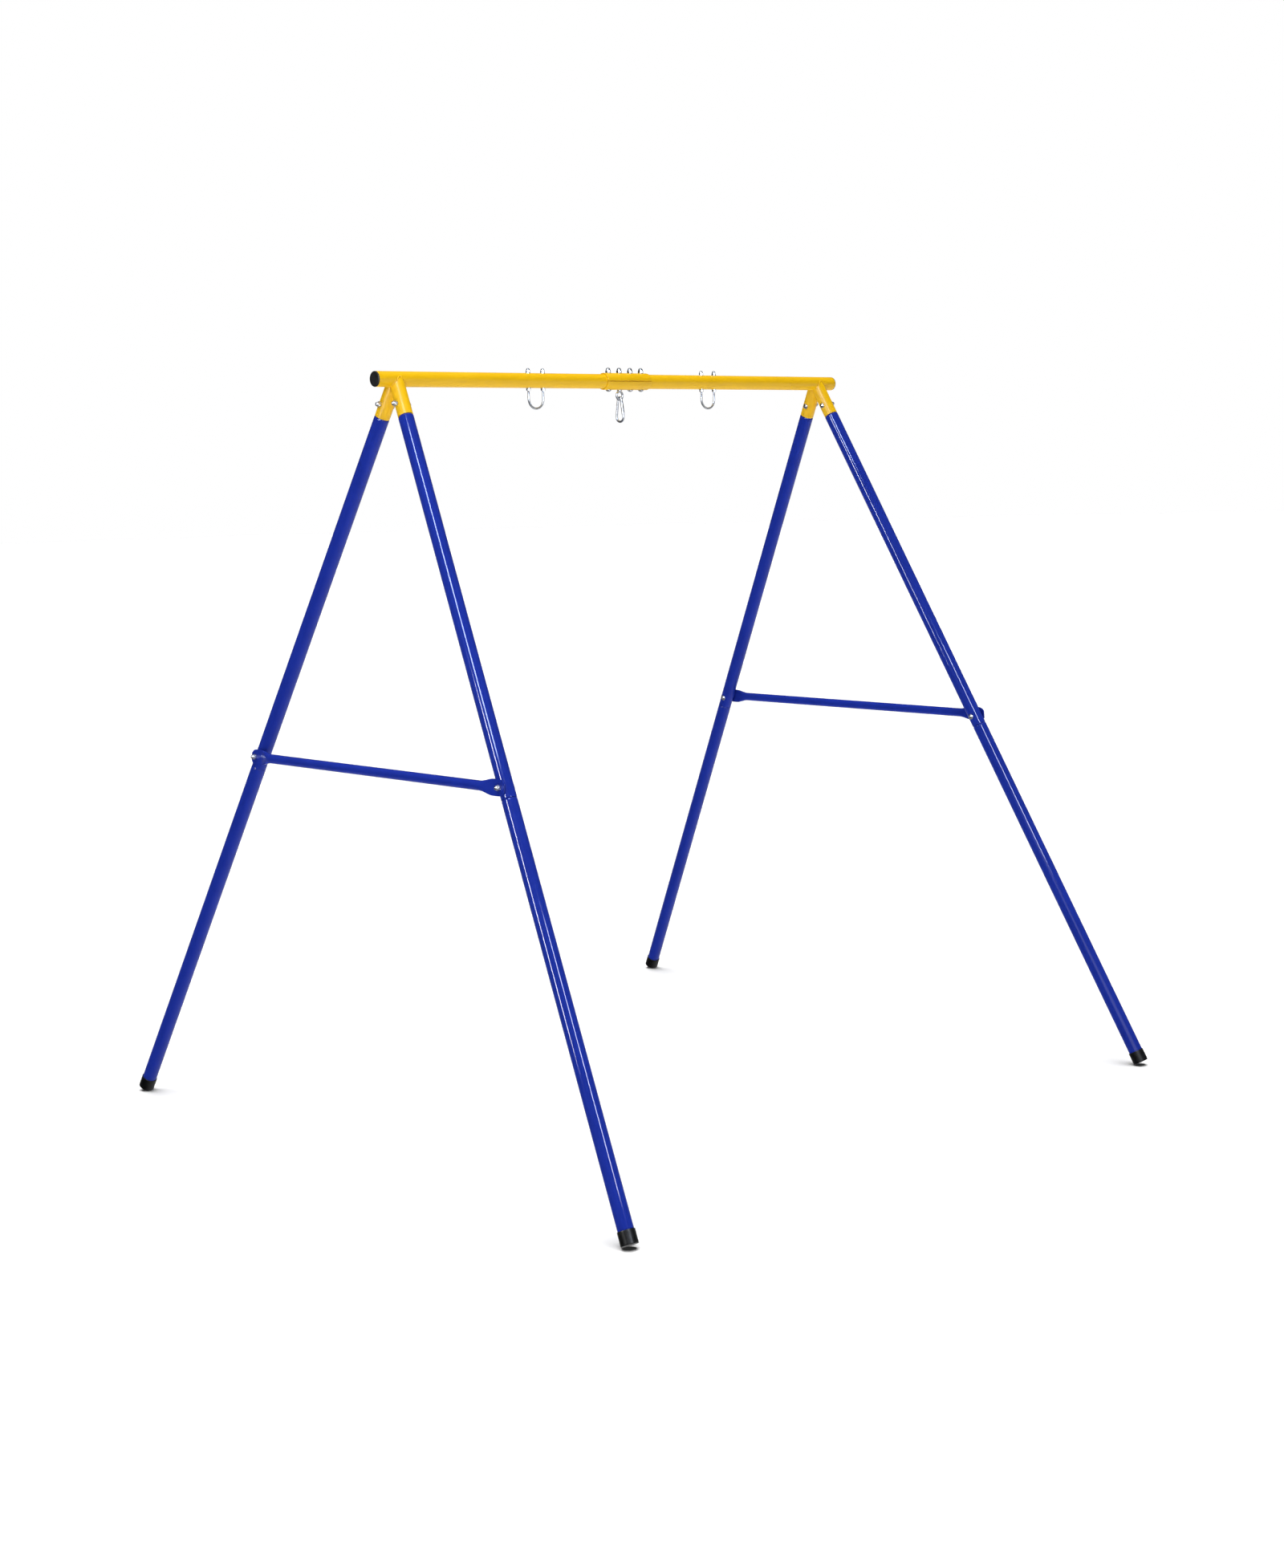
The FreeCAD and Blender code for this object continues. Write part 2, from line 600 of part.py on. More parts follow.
def brace(side):
    """A round tube whose two flattened ends lie against the outer sides of the legs."""
    name = f"{side}Brace"
    spread = size(f"atan(foot_depth / 2 / {SLOPE})")
    span = size(BRACE_BOLT) * math.sin(math.radians(spread))
    drop = size(BRACE_BOLT) * math.cos(math.radians(spread))
    tube_half = span - size("paddle_root + paddle_blend")
    length = f"2 * ({BRACE_BOLT} * sin({spread}) - paddle_root - paddle_blend)"
    along = shift(y=-tube_half) * turn(ALONG, -90)
    tube = cut(name + "Tube", cylinder(name + "Outside", "brace_od / 2", length, along),
               cylinder(name + "Inside", "brace_od / 2 - brace_wall", length, along))
    pieces = [tube] + brace_end(name + "EndA", 1, span) + brace_end(name + "EndB", -1, span)
    drills = [cylinder(f"{name}Drill{sign}", BOLT_HOLE, "2 * brace_od",
                       shift(-size("brace_od"), sign * span, 0) * turn(ACROSS, 90)) for sign in (-1, 1)]
    whole = cut(name, fuse(name + "Blank", pieces), fuse(name + "Drills", drills))
    outwards = size(f"{TUBE} + paddle_thickness / 2")
    whole.Placement = frame_place(side) * shift(outwards, 0, -drop)
    keep(whole, f"brace_{side}")


def leg_fasteners(label, station, backing):
    """Bolts through the legs, heads on the inner side and cap nuts on the outer side."""
    bolts = []
    nuts = []
    for side, end in CORNERS:
        middle = leg_place(side, end) * shift(z=-size(station)) * turn(ACROSS, 90)
        name = f"{label}_{side}_{end}"
        bolts.append(domed_bolt(name + "_bolt", f"tube_od + {backing}", middle * shift(z=-size(TUBE))))
        nuts.append(frame_nut(name + "_nut", middle * shift(z=size(f"{TUBE} + {backing}"))))
    group(f"{label}_bolts", bolts)
    group(f"{label}_nuts", nuts)


# ---------------------------------------------------------------- snap hook


def hook_place():
    """Origin at the lowest bar of the eyebolt's ring, on which the hook hangs."""
    return shift(size(EYE_STATION), 0, size(f"beam_height - {HOOK_HANG}"))


def limb_frame(side):
    """Origin where the narrow bend meets a straight limb, local -Z down the limb, local Y outwards."""
    slope = math.degrees(math.asin(size(f"(hook_bend - {HOOK_TOP}) / hook_centres")))
    facing = Placement() if side > 0 else turn(UP, 180)
    return facing * turn(ALONG, slope) * shift(y=size(HOOK_TOP))


def hook_body():
    """A pear-shaped rod, open on the gate's side, with a drilled flat at the pivot and one at the nose."""
    slope = math.asin(size(f"(hook_bend - {HOOK_TOP}) / hook_centres"))
    limb = f"(hook_centres * {math.cos(slope)})"
    slope = math.degrees(slope)
    upright = turn(UP, 90) * turn(ALONG, 90)
    top = ring_arc("HookTop", HOOK_TOP, "hook_rod / 2", str(180 - 2 * slope),
                   upright * turn(UP, slope))
    bottom = ring_arc("HookBottom", "hook_bend", "hook_rod / 2", str(180 + 2 * slope),
                      shift(z=-size("hook_centres")) * upright * turn(UP, 180 - slope))
    spine = cylinder("HookSpine", "hook_rod / 2", limb, limb_frame(1) * turn(ALONG, 180))
    gate_side = limb_frame(-1)
    stub = cylinder("HookStub", "hook_rod / 2", "gate_stub", gate_side * turn(ALONG, 180))
    nose_start = "(gate_end + gate_end_gap)"
    nose = cylinder("HookNose", "hook_rod / 2", f"{limb} - {nose_start}",
                    gate_side * shift(z=-size(nose_start)) * turn(ALONG, 180))
    tang = box("HookTang", "tang_width", "2 * (gate_pivot - gate_stub)", "gate_pivot - gate_stub + tang_root",
               gate_side * shift(z=-size("(gate_stub + gate_pivot - tang_root) / 2")))
    tang_round = cylinder("HookTangRound", "hook_rod / 2 - tang_relief", "tang_width",
                          gate_side * shift(-size("tang_width / 2"), 0, -size("gate_pivot"))
                          * turn(ACROSS, 90))
    tang_limit = cylinder("HookTangLimit", "hook_rod / 2", "2 * gate_pivot",
                          gate_side * turn(ALONG, 180))
    nose_flat = box("HookNoseFlat", "tang_width", "nose_depth", "nose_tang + tang_root",
                    gate_side * shift(z=-size(f"{nose_start} + (tang_root - nose_tang) / 2")))
    tangs = fuse("HookTangs", [common("HookTangTrim", [tang, tang_limit]), tang_round, nose_flat])
    blank = fuse("HookBlank", [top, spine, bottom, stub, nose, tangs])
    pin_hole = cylinder("HookPinHole", "pin_radius + pin_gap / 2", "gate_width",
                        gate_side * shift(-size("gate_width / 2"), 0, -size("gate_pivot"))
                        * turn(ACROSS, 90))
    hook = cut("Hook", blank, pin_hole)
    hook.Placement = hook_place()
    keep(hook, "snap_hook_body")


def gate_place():
    return hook_place() * limb_frame(-1)


def hook_gate():
    """A bar forked at both ends: one fork turns on the pin, the other closes over the nose."""
    pivot = shift(z=-size("gate_pivot"))
    bar = box("GateBar", "gate_width", "gate_depth", "gate_end - gate_pivot",
              shift(z=-size("(gate_end + gate_pivot) / 2")))
    knuckle = cylinder("GateKnuckle", "gate_depth / 2", "gate_width",
                       pivot * shift(-size("gate_width / 2")) * turn(ACROSS, 90))
    round_bar = cylinder("GateRound", "gate_width / 2", "gate_end + gate_depth",
                         shift(z=size("gate_depth")) * turn(ALONG, 180))
    blank = common("GateBlank", [fuse("GateSolid", [bar, knuckle]), round_bar])
    top_slot = box("GateTopSlot", "fork_slot", "2 * gate_depth", "gate_slot_depth + gate_depth / 2",
                   shift(z=-size("gate_pivot + (gate_slot_depth - gate_depth / 2) / 2")))
    low_slot = box("GateLowSlot", "fork_slot", "2 * gate_depth", "gate_slot_depth",
                   shift(z=-size("gate_end - gate_slot_depth / 2")))
    pin_hole = cylinder("GatePinHole", "pin_radius + pin_gap", "2 * gate_width",
                        pivot * shift(-size("gate_width")) * turn(ACROSS, 90))
    chamber = cylinder("GateChamber", "spring_bend + spring_wire / 2 + spring_gap",
                       "gate_slot_depth + spring_length + spring_wire + 2 * spring_gap",
                       pivot * turn(ALONG, 180))
    gate = cut("Gate", blank, fuse("GateCuts", [top_slot, low_slot, pin_hole, chamber]))
    gate.Placement = gate_place()
    keep(gate, "snap_hook_gate")


def hook_pin():
    place = gate_place() * shift(-size("gate_width / 2"), 0, -size("gate_pivot")) * turn(ACROSS, 90)
    keep(cylinder("HookPin", "pin_radius", "gate_width", place), "snap_hook_pin")


def gate_spring():
    """A small coil spring that lies in the gate's bore and pushes against the hook's flat."""
    coil = doc.addObject("Part::Helix", "SpringCoil")
    bind(coil, Pitch="spring_pitch", Height="spring_length - spring_wire", Radius="spring_bend")
    wire = doc.addObject("Part::Circle", "SpringWire")
    bind(wire, Radius="spring_wire / 2")
    wire.Placement = shift(x=size("spring_bend")) * turn(ALONG, 90)
    spring = doc.addObject("Part::Sweep", "GateSpring")
    spring.Sections = [wire]
    spring.Spine = (coil, [])
    spring.Solid = True
    spring.Frenet = True
    low = size("gate_pivot + gate_slot_depth + spring_length + spring_gap")
    spring.Placement = gate_place() * shift(z=-low)
    keep(spring, "snap_hook_spring")


# ---------------------------------------------------------------- the whole stand

for side in SIDES:
    beam_half(side)
    end_cap(side)
    u_bolt(side)
    brace(side)
for side, end in CORNERS:
    leg(side, end)
    foot_cap(side, end)
sleeve_shell("sleeve_upper_shell", 0)
sleeve_shell("sleeve_lower_shell", 180)
sleeve_fasteners()
eyebolt()
u_bolt_fasteners()
leg_fasteners("socket", "socket_bolt_at", "0")
leg_fasteners("brace", BRACE_BOLT, "paddle_thickness")
hook_body()
hook_gate()
hook_pin()
gate_spring()
doc.recompute()

for item in doc.Objects:
    faults = [state for state in item.State if state in ("Invalid", "Error")]
    if faults:
        raise RuntimeError(f"{item.Name} is {faults}")
for item in subparts:
    if item.Shape.isNull() or not item.Shape.isValid():
        raise RuntimeError(f"{item.Label} has no valid shape")

os.makedirs("parts", exist_ok=True)
for item in subparts:
    item.Shape.exportStep(f"parts/{item.Label}.step")
    print(f"{item.Label}: {len(item.Shape.Solids)} solid(s), {item.Shape.Volume / 1000:.2f} cm3")
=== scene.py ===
# %% [markdown]
# # A steel A-frame swing stand
# The stand is powder-coated tube: a yellow beam on four blue legs, bolted together with bright
# zinc-plated hardware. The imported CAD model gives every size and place. This lesson rebuilds the
# tubes, nuts and caps with finer surfaces than a CAD mesh has, keeps the snap hook as it is, and
# gives every piece the finish of the real one. The frame comes first, because all else hangs on it.

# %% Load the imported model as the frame
import math

import bmesh
import bpy
from mathutils import Matrix, Vector


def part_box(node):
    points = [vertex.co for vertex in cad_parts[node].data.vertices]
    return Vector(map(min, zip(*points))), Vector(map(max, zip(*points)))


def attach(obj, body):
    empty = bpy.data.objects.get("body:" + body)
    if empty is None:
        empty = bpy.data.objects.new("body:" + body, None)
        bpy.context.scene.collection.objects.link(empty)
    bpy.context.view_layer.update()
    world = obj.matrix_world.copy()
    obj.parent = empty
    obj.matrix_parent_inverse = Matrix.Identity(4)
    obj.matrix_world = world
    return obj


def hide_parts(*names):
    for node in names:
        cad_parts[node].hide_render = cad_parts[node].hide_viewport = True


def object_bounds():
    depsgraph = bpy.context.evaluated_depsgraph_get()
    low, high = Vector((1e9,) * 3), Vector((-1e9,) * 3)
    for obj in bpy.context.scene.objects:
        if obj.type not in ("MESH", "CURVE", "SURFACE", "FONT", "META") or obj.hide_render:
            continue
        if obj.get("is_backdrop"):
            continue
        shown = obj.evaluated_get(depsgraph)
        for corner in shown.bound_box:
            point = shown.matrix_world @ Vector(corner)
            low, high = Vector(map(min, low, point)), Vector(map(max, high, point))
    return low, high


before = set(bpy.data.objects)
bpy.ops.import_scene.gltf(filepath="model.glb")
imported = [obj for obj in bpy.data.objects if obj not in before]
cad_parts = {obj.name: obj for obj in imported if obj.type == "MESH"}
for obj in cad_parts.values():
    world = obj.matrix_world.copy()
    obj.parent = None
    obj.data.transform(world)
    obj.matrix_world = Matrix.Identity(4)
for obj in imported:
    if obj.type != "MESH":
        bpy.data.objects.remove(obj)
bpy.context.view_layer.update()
bpy.ops.object.select_all(action="DESELECT")

# %% [markdown]
# The sizes below are the stand's own, in metres, as a maker would list them. The height of the beam
# is read from the frame, as the middle of an end cap. The others are written out once each, and the
# slope and length of the legs are worked out from them, so one changed value moves everything that
# depends on it.

# %% Driving sizes
MM = 0.001
RIGHT, LEFT = 1, -1
FRONT, REAR = -1, 1
SIDES = {"left": LEFT, "right": RIGHT}
ENDS = {"front": FRONT, "rear": REAR}

cap_low, cap_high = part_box("end_cap_right")
BEAM_HEIGHT = (cap_low.z + cap_high.z) / 2
BEAM_END = 835 * MM
BEAM_JOINT_GAP = 1 * MM
APEX_X = 772 * MM
FOOT_X = 990 * MM
FOOT_Y = 975 * MM
TUBE = 19 * MM
WALL = 1.5 * MM
SOCKET = 18.9 * MM
SOCKET_MOUTH = 102 * MM
SOCKET_BOLT = 70 * MM
LEG_JOINT = 1100 * MM
BRACE_BOLT = 1072 * MM
PADDLE_THICKNESS = 2.6 * MM
FOOT_CAP = 20.65 * MM
FOOT_CAP_FLOOR = 4 * MM
SLEEVE_INSIDE = 19.1 * MM
SLEEVE = 22.1 * MM
HANGER_X = 318 * MM
HANGER_REACH = 25 * MM

SPLAY = FOOT_X - APEX_X
SLOPE = math.hypot(BEAM_HEIGHT, SPLAY)
LEG_AXIS = math.hypot(SLOPE, FOOT_Y)
LEAN = math.acos(BEAM_HEIGHT / LEG_AXIS)
CAP_END = LEG_AXIS - FOOT_CAP * math.tan(LEAN)
print(f"beam {BEAM_HEIGHT / MM:.0f} mm up, legs lean {math.degrees(LEAN):.1f} degrees")

# %% [markdown]
# Every piece is modelled upright at the world's origin, where it is easy to think about, and then
# stood in its place. Two places are enough for the whole stand. The first has its origin on the
# beam, its X pointing outwards and its Z up the slope of an A-frame. The second is turned further,
# so that its -Z runs down one leg.


# %% Places on the stand
def half_turn(side):
    """Half a turn about Z for the left side, which swaps the sides, and none for the right."""
    return Matrix() if side == RIGHT else Matrix.Rotation(math.pi, 4, "Z")


def frame_place(side):
    """Origin on the beam, X outwards, Z up the slope of the A-frame on that side."""
    tilt = Matrix.Rotation(-math.atan2(SPLAY, BEAM_HEIGHT), 4, "Y")
    right = Matrix.Translation((APEX_X, 0, BEAM_HEIGHT)) @ tilt
    return half_turn(side) @ right


def leg_place(side, end, down=0.0):
    """Origin that far down a leg's axis, -Z pointing down the leg, X outwards."""
    spread = math.atan2(FOOT_Y, SLOPE) * side * end
    return frame_place(side) @ Matrix.Rotation(spread, 4, "X") @ Matrix.Translation((0, 0, -down))


OUTWARDS = Matrix.Rotation(math.pi / 2, 4, "Y")
UPSIDE_DOWN = Matrix.Rotation(math.pi, 4, "X")
CORNERS = [(s, e) for s in SIDES for e in ENDS]
foot = leg_place(RIGHT, REAR, CAP_END) @ Vector((0, 0, 0))
print("a foot cap's middle is at", [round(value, 3) for value in foot])

# %% [markdown]
# # Finishes
# Colours are written as sRGB hex values, as in a paint chart, and Blender's shaders want linear
# light, so one function converts them. A second small function adds a shader node with its
# settings and links, which keeps each finish readable as a list of what it is made of.


# %% Colour and node helpers
def paint(hex_code):
    """A linear colour from an sRGB hex value."""
    shares = [int(hex_code[i:i + 2], 16) / 255 for i in (1, 3, 5)]
    linear = [c / 12.92 if c <= 0.04045 else ((c + 0.055) / 1.055) ** 2.4 for c in shares]
    return (*linear, 1.0)


def add(tree, kind, values=None, links=None, **settings):
    """A new node: settings are its own, values fill its sockets, links feed them."""
    node = tree.nodes.new(kind)
    for name, value in settings.items():
        setattr(node, name, value)
    for socket, value in (values or {}).items():
        node.inputs[socket].default_value = value
    for socket, source in (links or {}).items():
        tree.links.new(source, node.inputs[socket])
    return node


def empty_material(name):
    """A material with an empty tree, its output and the piece's own coordinates."""
    material = bpy.data.materials.new(name)
    material.use_nodes = True
    tree = material.node_tree
    tree.nodes.clear()
    output = add(tree, "ShaderNodeOutputMaterial")
    place = add(tree, "ShaderNodeTexCoord").outputs["Object"]
    return material, tree, output, place


def ramp(tree, factor, stops):
    """A colour ramp fed by a factor; stops are pairs of position and colour."""
    node = add(tree, "ShaderNodeValToRGB", links={"Fac": factor})
    while len(node.color_ramp.elements) < len(stops):
        node.color_ramp.elements.new(0.5)
    for element, (position, colour) in zip(node.color_ramp.elements, stops):
        element.position = position
        element.color = colour
    return node


# %% [markdown]
# The tubes carry a gloss polyester powder coat. The powder is sprayed on dry and melts in an oven,
# so the film is even and closed, and it sets with a faint ripple called orange peel, here with
# bumps about 3 mm across. It mirrors lamps as sharp lines, and its depth of colour drifts a
# little with the thickness of the film. One function makes both colours, as one line sprays them.


# %% Powder coat
PEEL = 3 * MM
CLOUD = 90 * MM


def powder_coat(name, deep, middle, bright, roughness, peel_height):
    """Baked gloss powder: a drifting colour under a rippled gloss."""
    material, tree, output, place = empty_material(name)
    cloud = add(tree, "ShaderNodeTexNoise", {"Scale": 1 / CLOUD, "Detail": 3.0, "Roughness": 0.55},
                {"Vector": place})
    colour = ramp(tree, cloud.outputs["Fac"],
                  [(0.25, paint(deep)), (0.5, paint(middle)), (0.75, paint(bright))])
    peel = add(tree, "ShaderNodeTexNoise", {"Scale": 1 / PEEL, "Detail": 1.5, "Roughness": 0.4},
               {"Vector": place})
    ripple = add(tree, "ShaderNodeBump", {"Strength": 0.35, "Distance": peel_height},
                 {"Height": peel.outputs["Fac"]})
    film = add(tree, "ShaderNodeMapRange",
               {"From Min": 0.3, "From Max": 0.7, "To Min": roughness * 0.85, "To Max": roughness * 1.2},
               {"Value": cloud.outputs["Fac"]})
    gloss = add(tree, "ShaderNodeBsdfPrincipled", {"IOR": 1.42, "Metallic": 0.0},
                {"Base Color": colour.outputs["Color"], "Roughness": film.outputs["Result"],
                 "Normal": ripple.outputs["Normal"]})
    tree.links.new(gloss.outputs["BSDF"], output.inputs["Surface"])
    return material


blue_coat = powder_coat("gloss_blue_powder_coat", "#1A2C90", "#1B2F96", "#1D319B", 0.07, 0.02 * MM)
yellow_coat = powder_coat("gloss_yellow_powder_coat", "#E4B30A", "#E7B60B", "#EAB90D", 0.32, 0.01 * MM)
print("powder coats:", blue_coat.name, yellow_coat.name)

# %% [markdown]
# Bolts, nuts, U-bolts and the snap hook are steel with bright zinc plating. Zinc is a pale metal
# with a blue cast. It was barrel plated, so its gloss is uneven where pieces rubbed, with small
# clouds about 4 mm across and fine pits. The gate spring is bare drawn steel, darker, with faint
# draw lines, so it shares the function with other colours and a rougher surface.


# %% Plated and bare steel
def plated_steel(name, dark, light, smooth, rough, cloud_size):
    """Bright metal whose colour and gloss drift in small clouds."""
    material, tree, output, place = empty_material(name)
    cloud = add(tree, "ShaderNodeTexNoise", {"Scale": 1 / cloud_size, "Detail": 4.0, "Roughness": 0.6},
                {"Vector": place})
    colour = ramp(tree, cloud.outputs["Fac"], [(0.3, paint(dark)), (0.7, paint(light))])
    rub = add(tree, "ShaderNodeMapRange",
              {"From Min": 0.3, "From Max": 0.7, "To Min": smooth, "To Max": rough},
              {"Value": cloud.outputs["Fac"]})
    pits = add(tree, "ShaderNodeTexNoise", {"Scale": 1 / (0.5 * MM), "Detail": 2.0}, {"Vector": place})
    bump = add(tree, "ShaderNodeBump", {"Strength": 0.2, "Distance": 0.01 * MM},
               {"Height": pits.outputs["Fac"]})
    metal = add(tree, "ShaderNodeBsdfPrincipled", {"Metallic": 1.0},
                {"Base Color": colour.outputs["Color"], "Roughness": rub.outputs["Result"],
                 "Normal": bump.outputs["Normal"]})
    tree.links.new(metal.outputs["BSDF"], output.inputs["Surface"])
    return material


zinc = plated_steel("bright_zinc_plated_steel", "#C6CBD2", "#ECEEF1", 0.24, 0.38, 4 * MM)
spring_steel = plated_steel("drawn_spring_steel", "#7C7F84", "#A9ACB0", 0.28, 0.42, 2 * MM)
print("metals:", zinc.name, spring_steel.name)

# %% [markdown]
# The beam's end caps are moulded polyethylene, black with a fine spark-eroded grain about 0.4 mm
# across that softens their gloss. The foot caps are moulded PVC rubber: black too, but shinier,
# because their mould was smoother. Dust greys both in soft patches about 12 mm across.


# %% Moulded black plastics
def moulded_black(name, deep, dusty, smooth, rough, grain, depth):
    """Black moulding with a fine grain; dust lifts its colour in soft patches."""
    material, tree, output, place = empty_material(name)
    patch = add(tree, "ShaderNodeTexNoise", {"Scale": 1 / (12 * MM), "Detail": 5.0, "Roughness": 0.65},
                {"Vector": place})
    colour = ramp(tree, patch.outputs["Fac"], [(0.35, paint(deep)), (0.8, paint(dusty))])
    skin = add(tree, "ShaderNodeMapRange",
               {"From Min": 0.3, "From Max": 0.7, "To Min": smooth, "To Max": rough},
               {"Value": patch.outputs["Fac"]})
    cells = add(tree, "ShaderNodeTexVoronoi", {"Scale": 1 / grain}, {"Vector": place})
    bump = add(tree, "ShaderNodeBump", {"Strength": 0.3, "Distance": depth},
               {"Height": cells.outputs["Distance"]})
    plastic = add(tree, "ShaderNodeBsdfPrincipled", {"IOR": 1.5, "Metallic": 0.0},
                  {"Base Color": colour.outputs["Color"], "Roughness": skin.outputs["Result"],
                   "Normal": bump.outputs["Normal"]})
    tree.links.new(plastic.outputs["BSDF"], output.inputs["Surface"])
    return material


cap_plastic = moulded_black("moulded_black_polyethylene", "#0D0E10", "#1C1D20", 0.38, 0.52,
                            0.4 * MM, 0.03 * MM)
foot_rubber = moulded_black("moulded_black_pvc_rubber", "#050607", "#131417", 0.30, 0.45,
                            0.6 * MM, 0.02 * MM)
print("plastics:", cap_plastic.name, foot_rubber.name)

# %% [markdown]
# # Modelling helpers
# Most pieces of the stand are round, so they are turned as on a lathe: a circle is extruded from
# one station to the next and scaled to the radius there. A radius of zero pulls the ring together
# into a closed pole. A profile that returns to where it began is bridged into a hollow ring.


# %% A lathe made of extrusions
def pick(piece):
    """Makes one piece the only one selected, and the active one."""
    bpy.ops.object.select_all(action="DESELECT")
    piece.select_set(True)
    bpy.context.view_layer.objects.active = piece


def edit_all(piece):
    """Opens one piece in edit mode with all of it selected."""
    pick(piece)
    bpy.ops.object.mode_set(mode="EDIT")
    bpy.ops.mesh.select_mode(type="VERT")
    bpy.ops.mesh.select_all(action="SELECT")


def close_edit(piece, smooth=35):
    """Turns the normals outwards, leaves edit mode and smooths what is nearly flat."""
    bpy.ops.mesh.select_all(action="SELECT")
    bpy.ops.mesh.remove_doubles(threshold=0.001 * MM)
    bpy.ops.mesh.normals_make_consistent(inside=False)
    bpy.ops.object.mode_set(mode="OBJECT")
    bpy.ops.object.shade_smooth_by_angle(angle=math.radians(smooth))
    return piece


def cleaned(piece, smooth=35):
    """Merges the doubles of a piece, turns its normals outwards and smooths it."""
    edit_all(piece)
    return close_edit(piece, smooth)


def turned(name, profile, segments=96, closed=False):
    """Turns a list of (radius, height) about Z; a first radius is filled unless closed."""
    radius, height = profile[0]
    bpy.ops.mesh.primitive_circle_add(vertices=segments, radius=radius, location=(0, 0, height),
                                      fill_type="NOTHING" if closed else "TRIFAN")
    piece = bpy.context.object
    piece.name = piece.data.name = name
    edit_all(piece)
    if not closed:
        bpy.ops.mesh.region_to_loop()
    for next_radius, next_height in profile[1:]:
        bpy.ops.mesh.extrude_region_move(
            TRANSFORM_OT_translate={"value": (0, 0, next_height - height)})
        if next_radius == 0:
            bpy.ops.mesh.merge(type="CENTER")
            break
        factor = next_radius / radius
        bpy.ops.transform.resize(value=(factor, factor, 1), center_override=(0, 0, next_height))
        radius, height = next_radius, next_height
    if closed:
        bpy.ops.mesh.select_all(action="SELECT")
        bpy.ops.mesh.region_to_loop()
        bpy.ops.mesh.bridge_edge_loops()
    close_edit(piece)
    stand(piece, Matrix())
    return piece


def stand(piece, place):
    """Moves a piece to its place and puts that place into its mesh."""
    pick(piece)
    piece.matrix_world = place @ piece.matrix_world
    bpy.ops.object.transform_apply(location=True, rotation=True, scale=True)
    return piece


def copy_at(model, name, place):
    """A copy of a finished model, with its own mesh, stood in its place."""
    piece = model.copy()
    piece.data = model.data.copy()
    piece.name = piece.data.name = name
    bpy.context.collection.objects.link(piece)
    return stand(piece, place)


def joined(name, pieces):
    """Several pieces as one object."""
    bpy.ops.object.select_all(action="DESELECT")
    for piece in pieces:
        piece.select_set(True)
    bpy.context.view_layer.objects.active = pieces[0]
    bpy.ops.object.join()
    pieces[0].name = pieces[0].data.name = name
    return pieces[0]


def apply_modifier(piece, kind, **settings):
    """Adds one modifier, sets it and applies it."""
    pick(piece)
    modifier = piece.modifiers.new(kind.lower(), kind)
    for setting, value in settings.items():
        setattr(modifier, setting, value)
    bpy.ops.object.modifier_apply(modifier=modifier.name)
    return piece


def carve(piece, tool, operation="DIFFERENCE"):
    """Cuts a tool from a piece, or joins or intersects them, and throws the tool away."""
    apply_modifier(piece, "BOOLEAN", object=tool, operation=operation, solver="EXACT")
    bpy.data.objects.remove(tool)
    return piece


def finish_piece(piece, material, nodes=()):
    """Gives a piece its finish, lets it ride on the frame and stand for its CAD nodes."""
    piece.data.materials.clear()
    piece.data.materials.append(material)
    for face in piece.data.polygons:
        face.material_index = 0
    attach(piece, "frame")
    if not nodes:
        return
    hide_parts(*nodes)
    corners = [Vector(corner) for corner in piece.bound_box]
    low = [min(corner[i] for corner in corners) for i in range(3)]
    boxes = [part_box(node) for node in nodes]
    gap = max(abs(low[i] - min(box[0][i] for box in boxes)) for i in range(3))
    print(f"{piece.name}: {len(piece.data.polygons)} faces, {gap / MM:.2f} mm off its CAD box")


# %% [markdown]
# # Legs
# A leg is two tubes. The top of each is swaged: squeezed in a die to a neck that slides into the
# tube above it, with a short rounded shoulder between. The lower mouth is sawn and its edge lightly
# rounded. The shoulder is what catches the light at the seams, so it gets several stations.


# %% Upper and lower leg tubes
NECK = TUBE - WALL - 0.2 * MM
NECK_LENGTH = 54 * MM
SHOULDER = 4 * MM
EDGE = 0.4 * MM
HOLD = 1.5 * MM
SHOULDER_STEPS = 8


def leg_tube(name, top, bottom):
    """A tube with a swaged neck above it, hollow, drawn down from the beam's axis."""
    profile = [(NECK, -(top - NECK_LENGTH)), (NECK, -(top - EDGE))]
    for step in range(1, SHOULDER_STEPS + 1):
        share = step / SHOULDER_STEPS
        swell = (1 - math.cos(math.pi * share)) / 2
        profile.append((NECK + (TUBE - NECK) * swell, -(top + SHOULDER * share)))
    profile += [(TUBE, -(top + SHOULDER + HOLD)), (TUBE, -(bottom - EDGE - HOLD)),
                (TUBE, -(bottom - EDGE)), (TUBE - EDGE / 3, -(bottom - EDGE / 3)),
                (TUBE - EDGE, -bottom), (TUBE - WALL + EDGE / 2, -bottom), (TUBE - WALL, -(bottom - EDGE)),
                (TUBE - WALL, -(top + SHOULDER)), (NECK - WALL, -top), (NECK - WALL, -(top - NECK_LENGTH))]
    return turned(name, profile, closed=True)


upper_tube = leg_tube("upper_tube", SOCKET_MOUTH, LEG_JOINT)
lower_tube = leg_tube("lower_tube", LEG_JOINT, CAP_END - FOOT_CAP_FLOOR)
for side, end in CORNERS:
    place = leg_place(SIDES[side], ENDS[end])
    for model, level in ((upper_tube, "upper"), (lower_tube, "lower")):
        tube = copy_at(model, f"{level}_tube_{side}_{end}", place)
        finish_piece(tube, blue_coat, [f"{level}_leg_{side}_{end}"])

# %% [markdown]
# # Foot caps
# Each leg stands in a ribbed cup. The wall is turned first. Then every fourth column of faces is
# pushed in between the lip and the sole, which leaves ribs three columns wide with grooves
# between, as the mould does. Selecting faces by their middle keeps the code short.

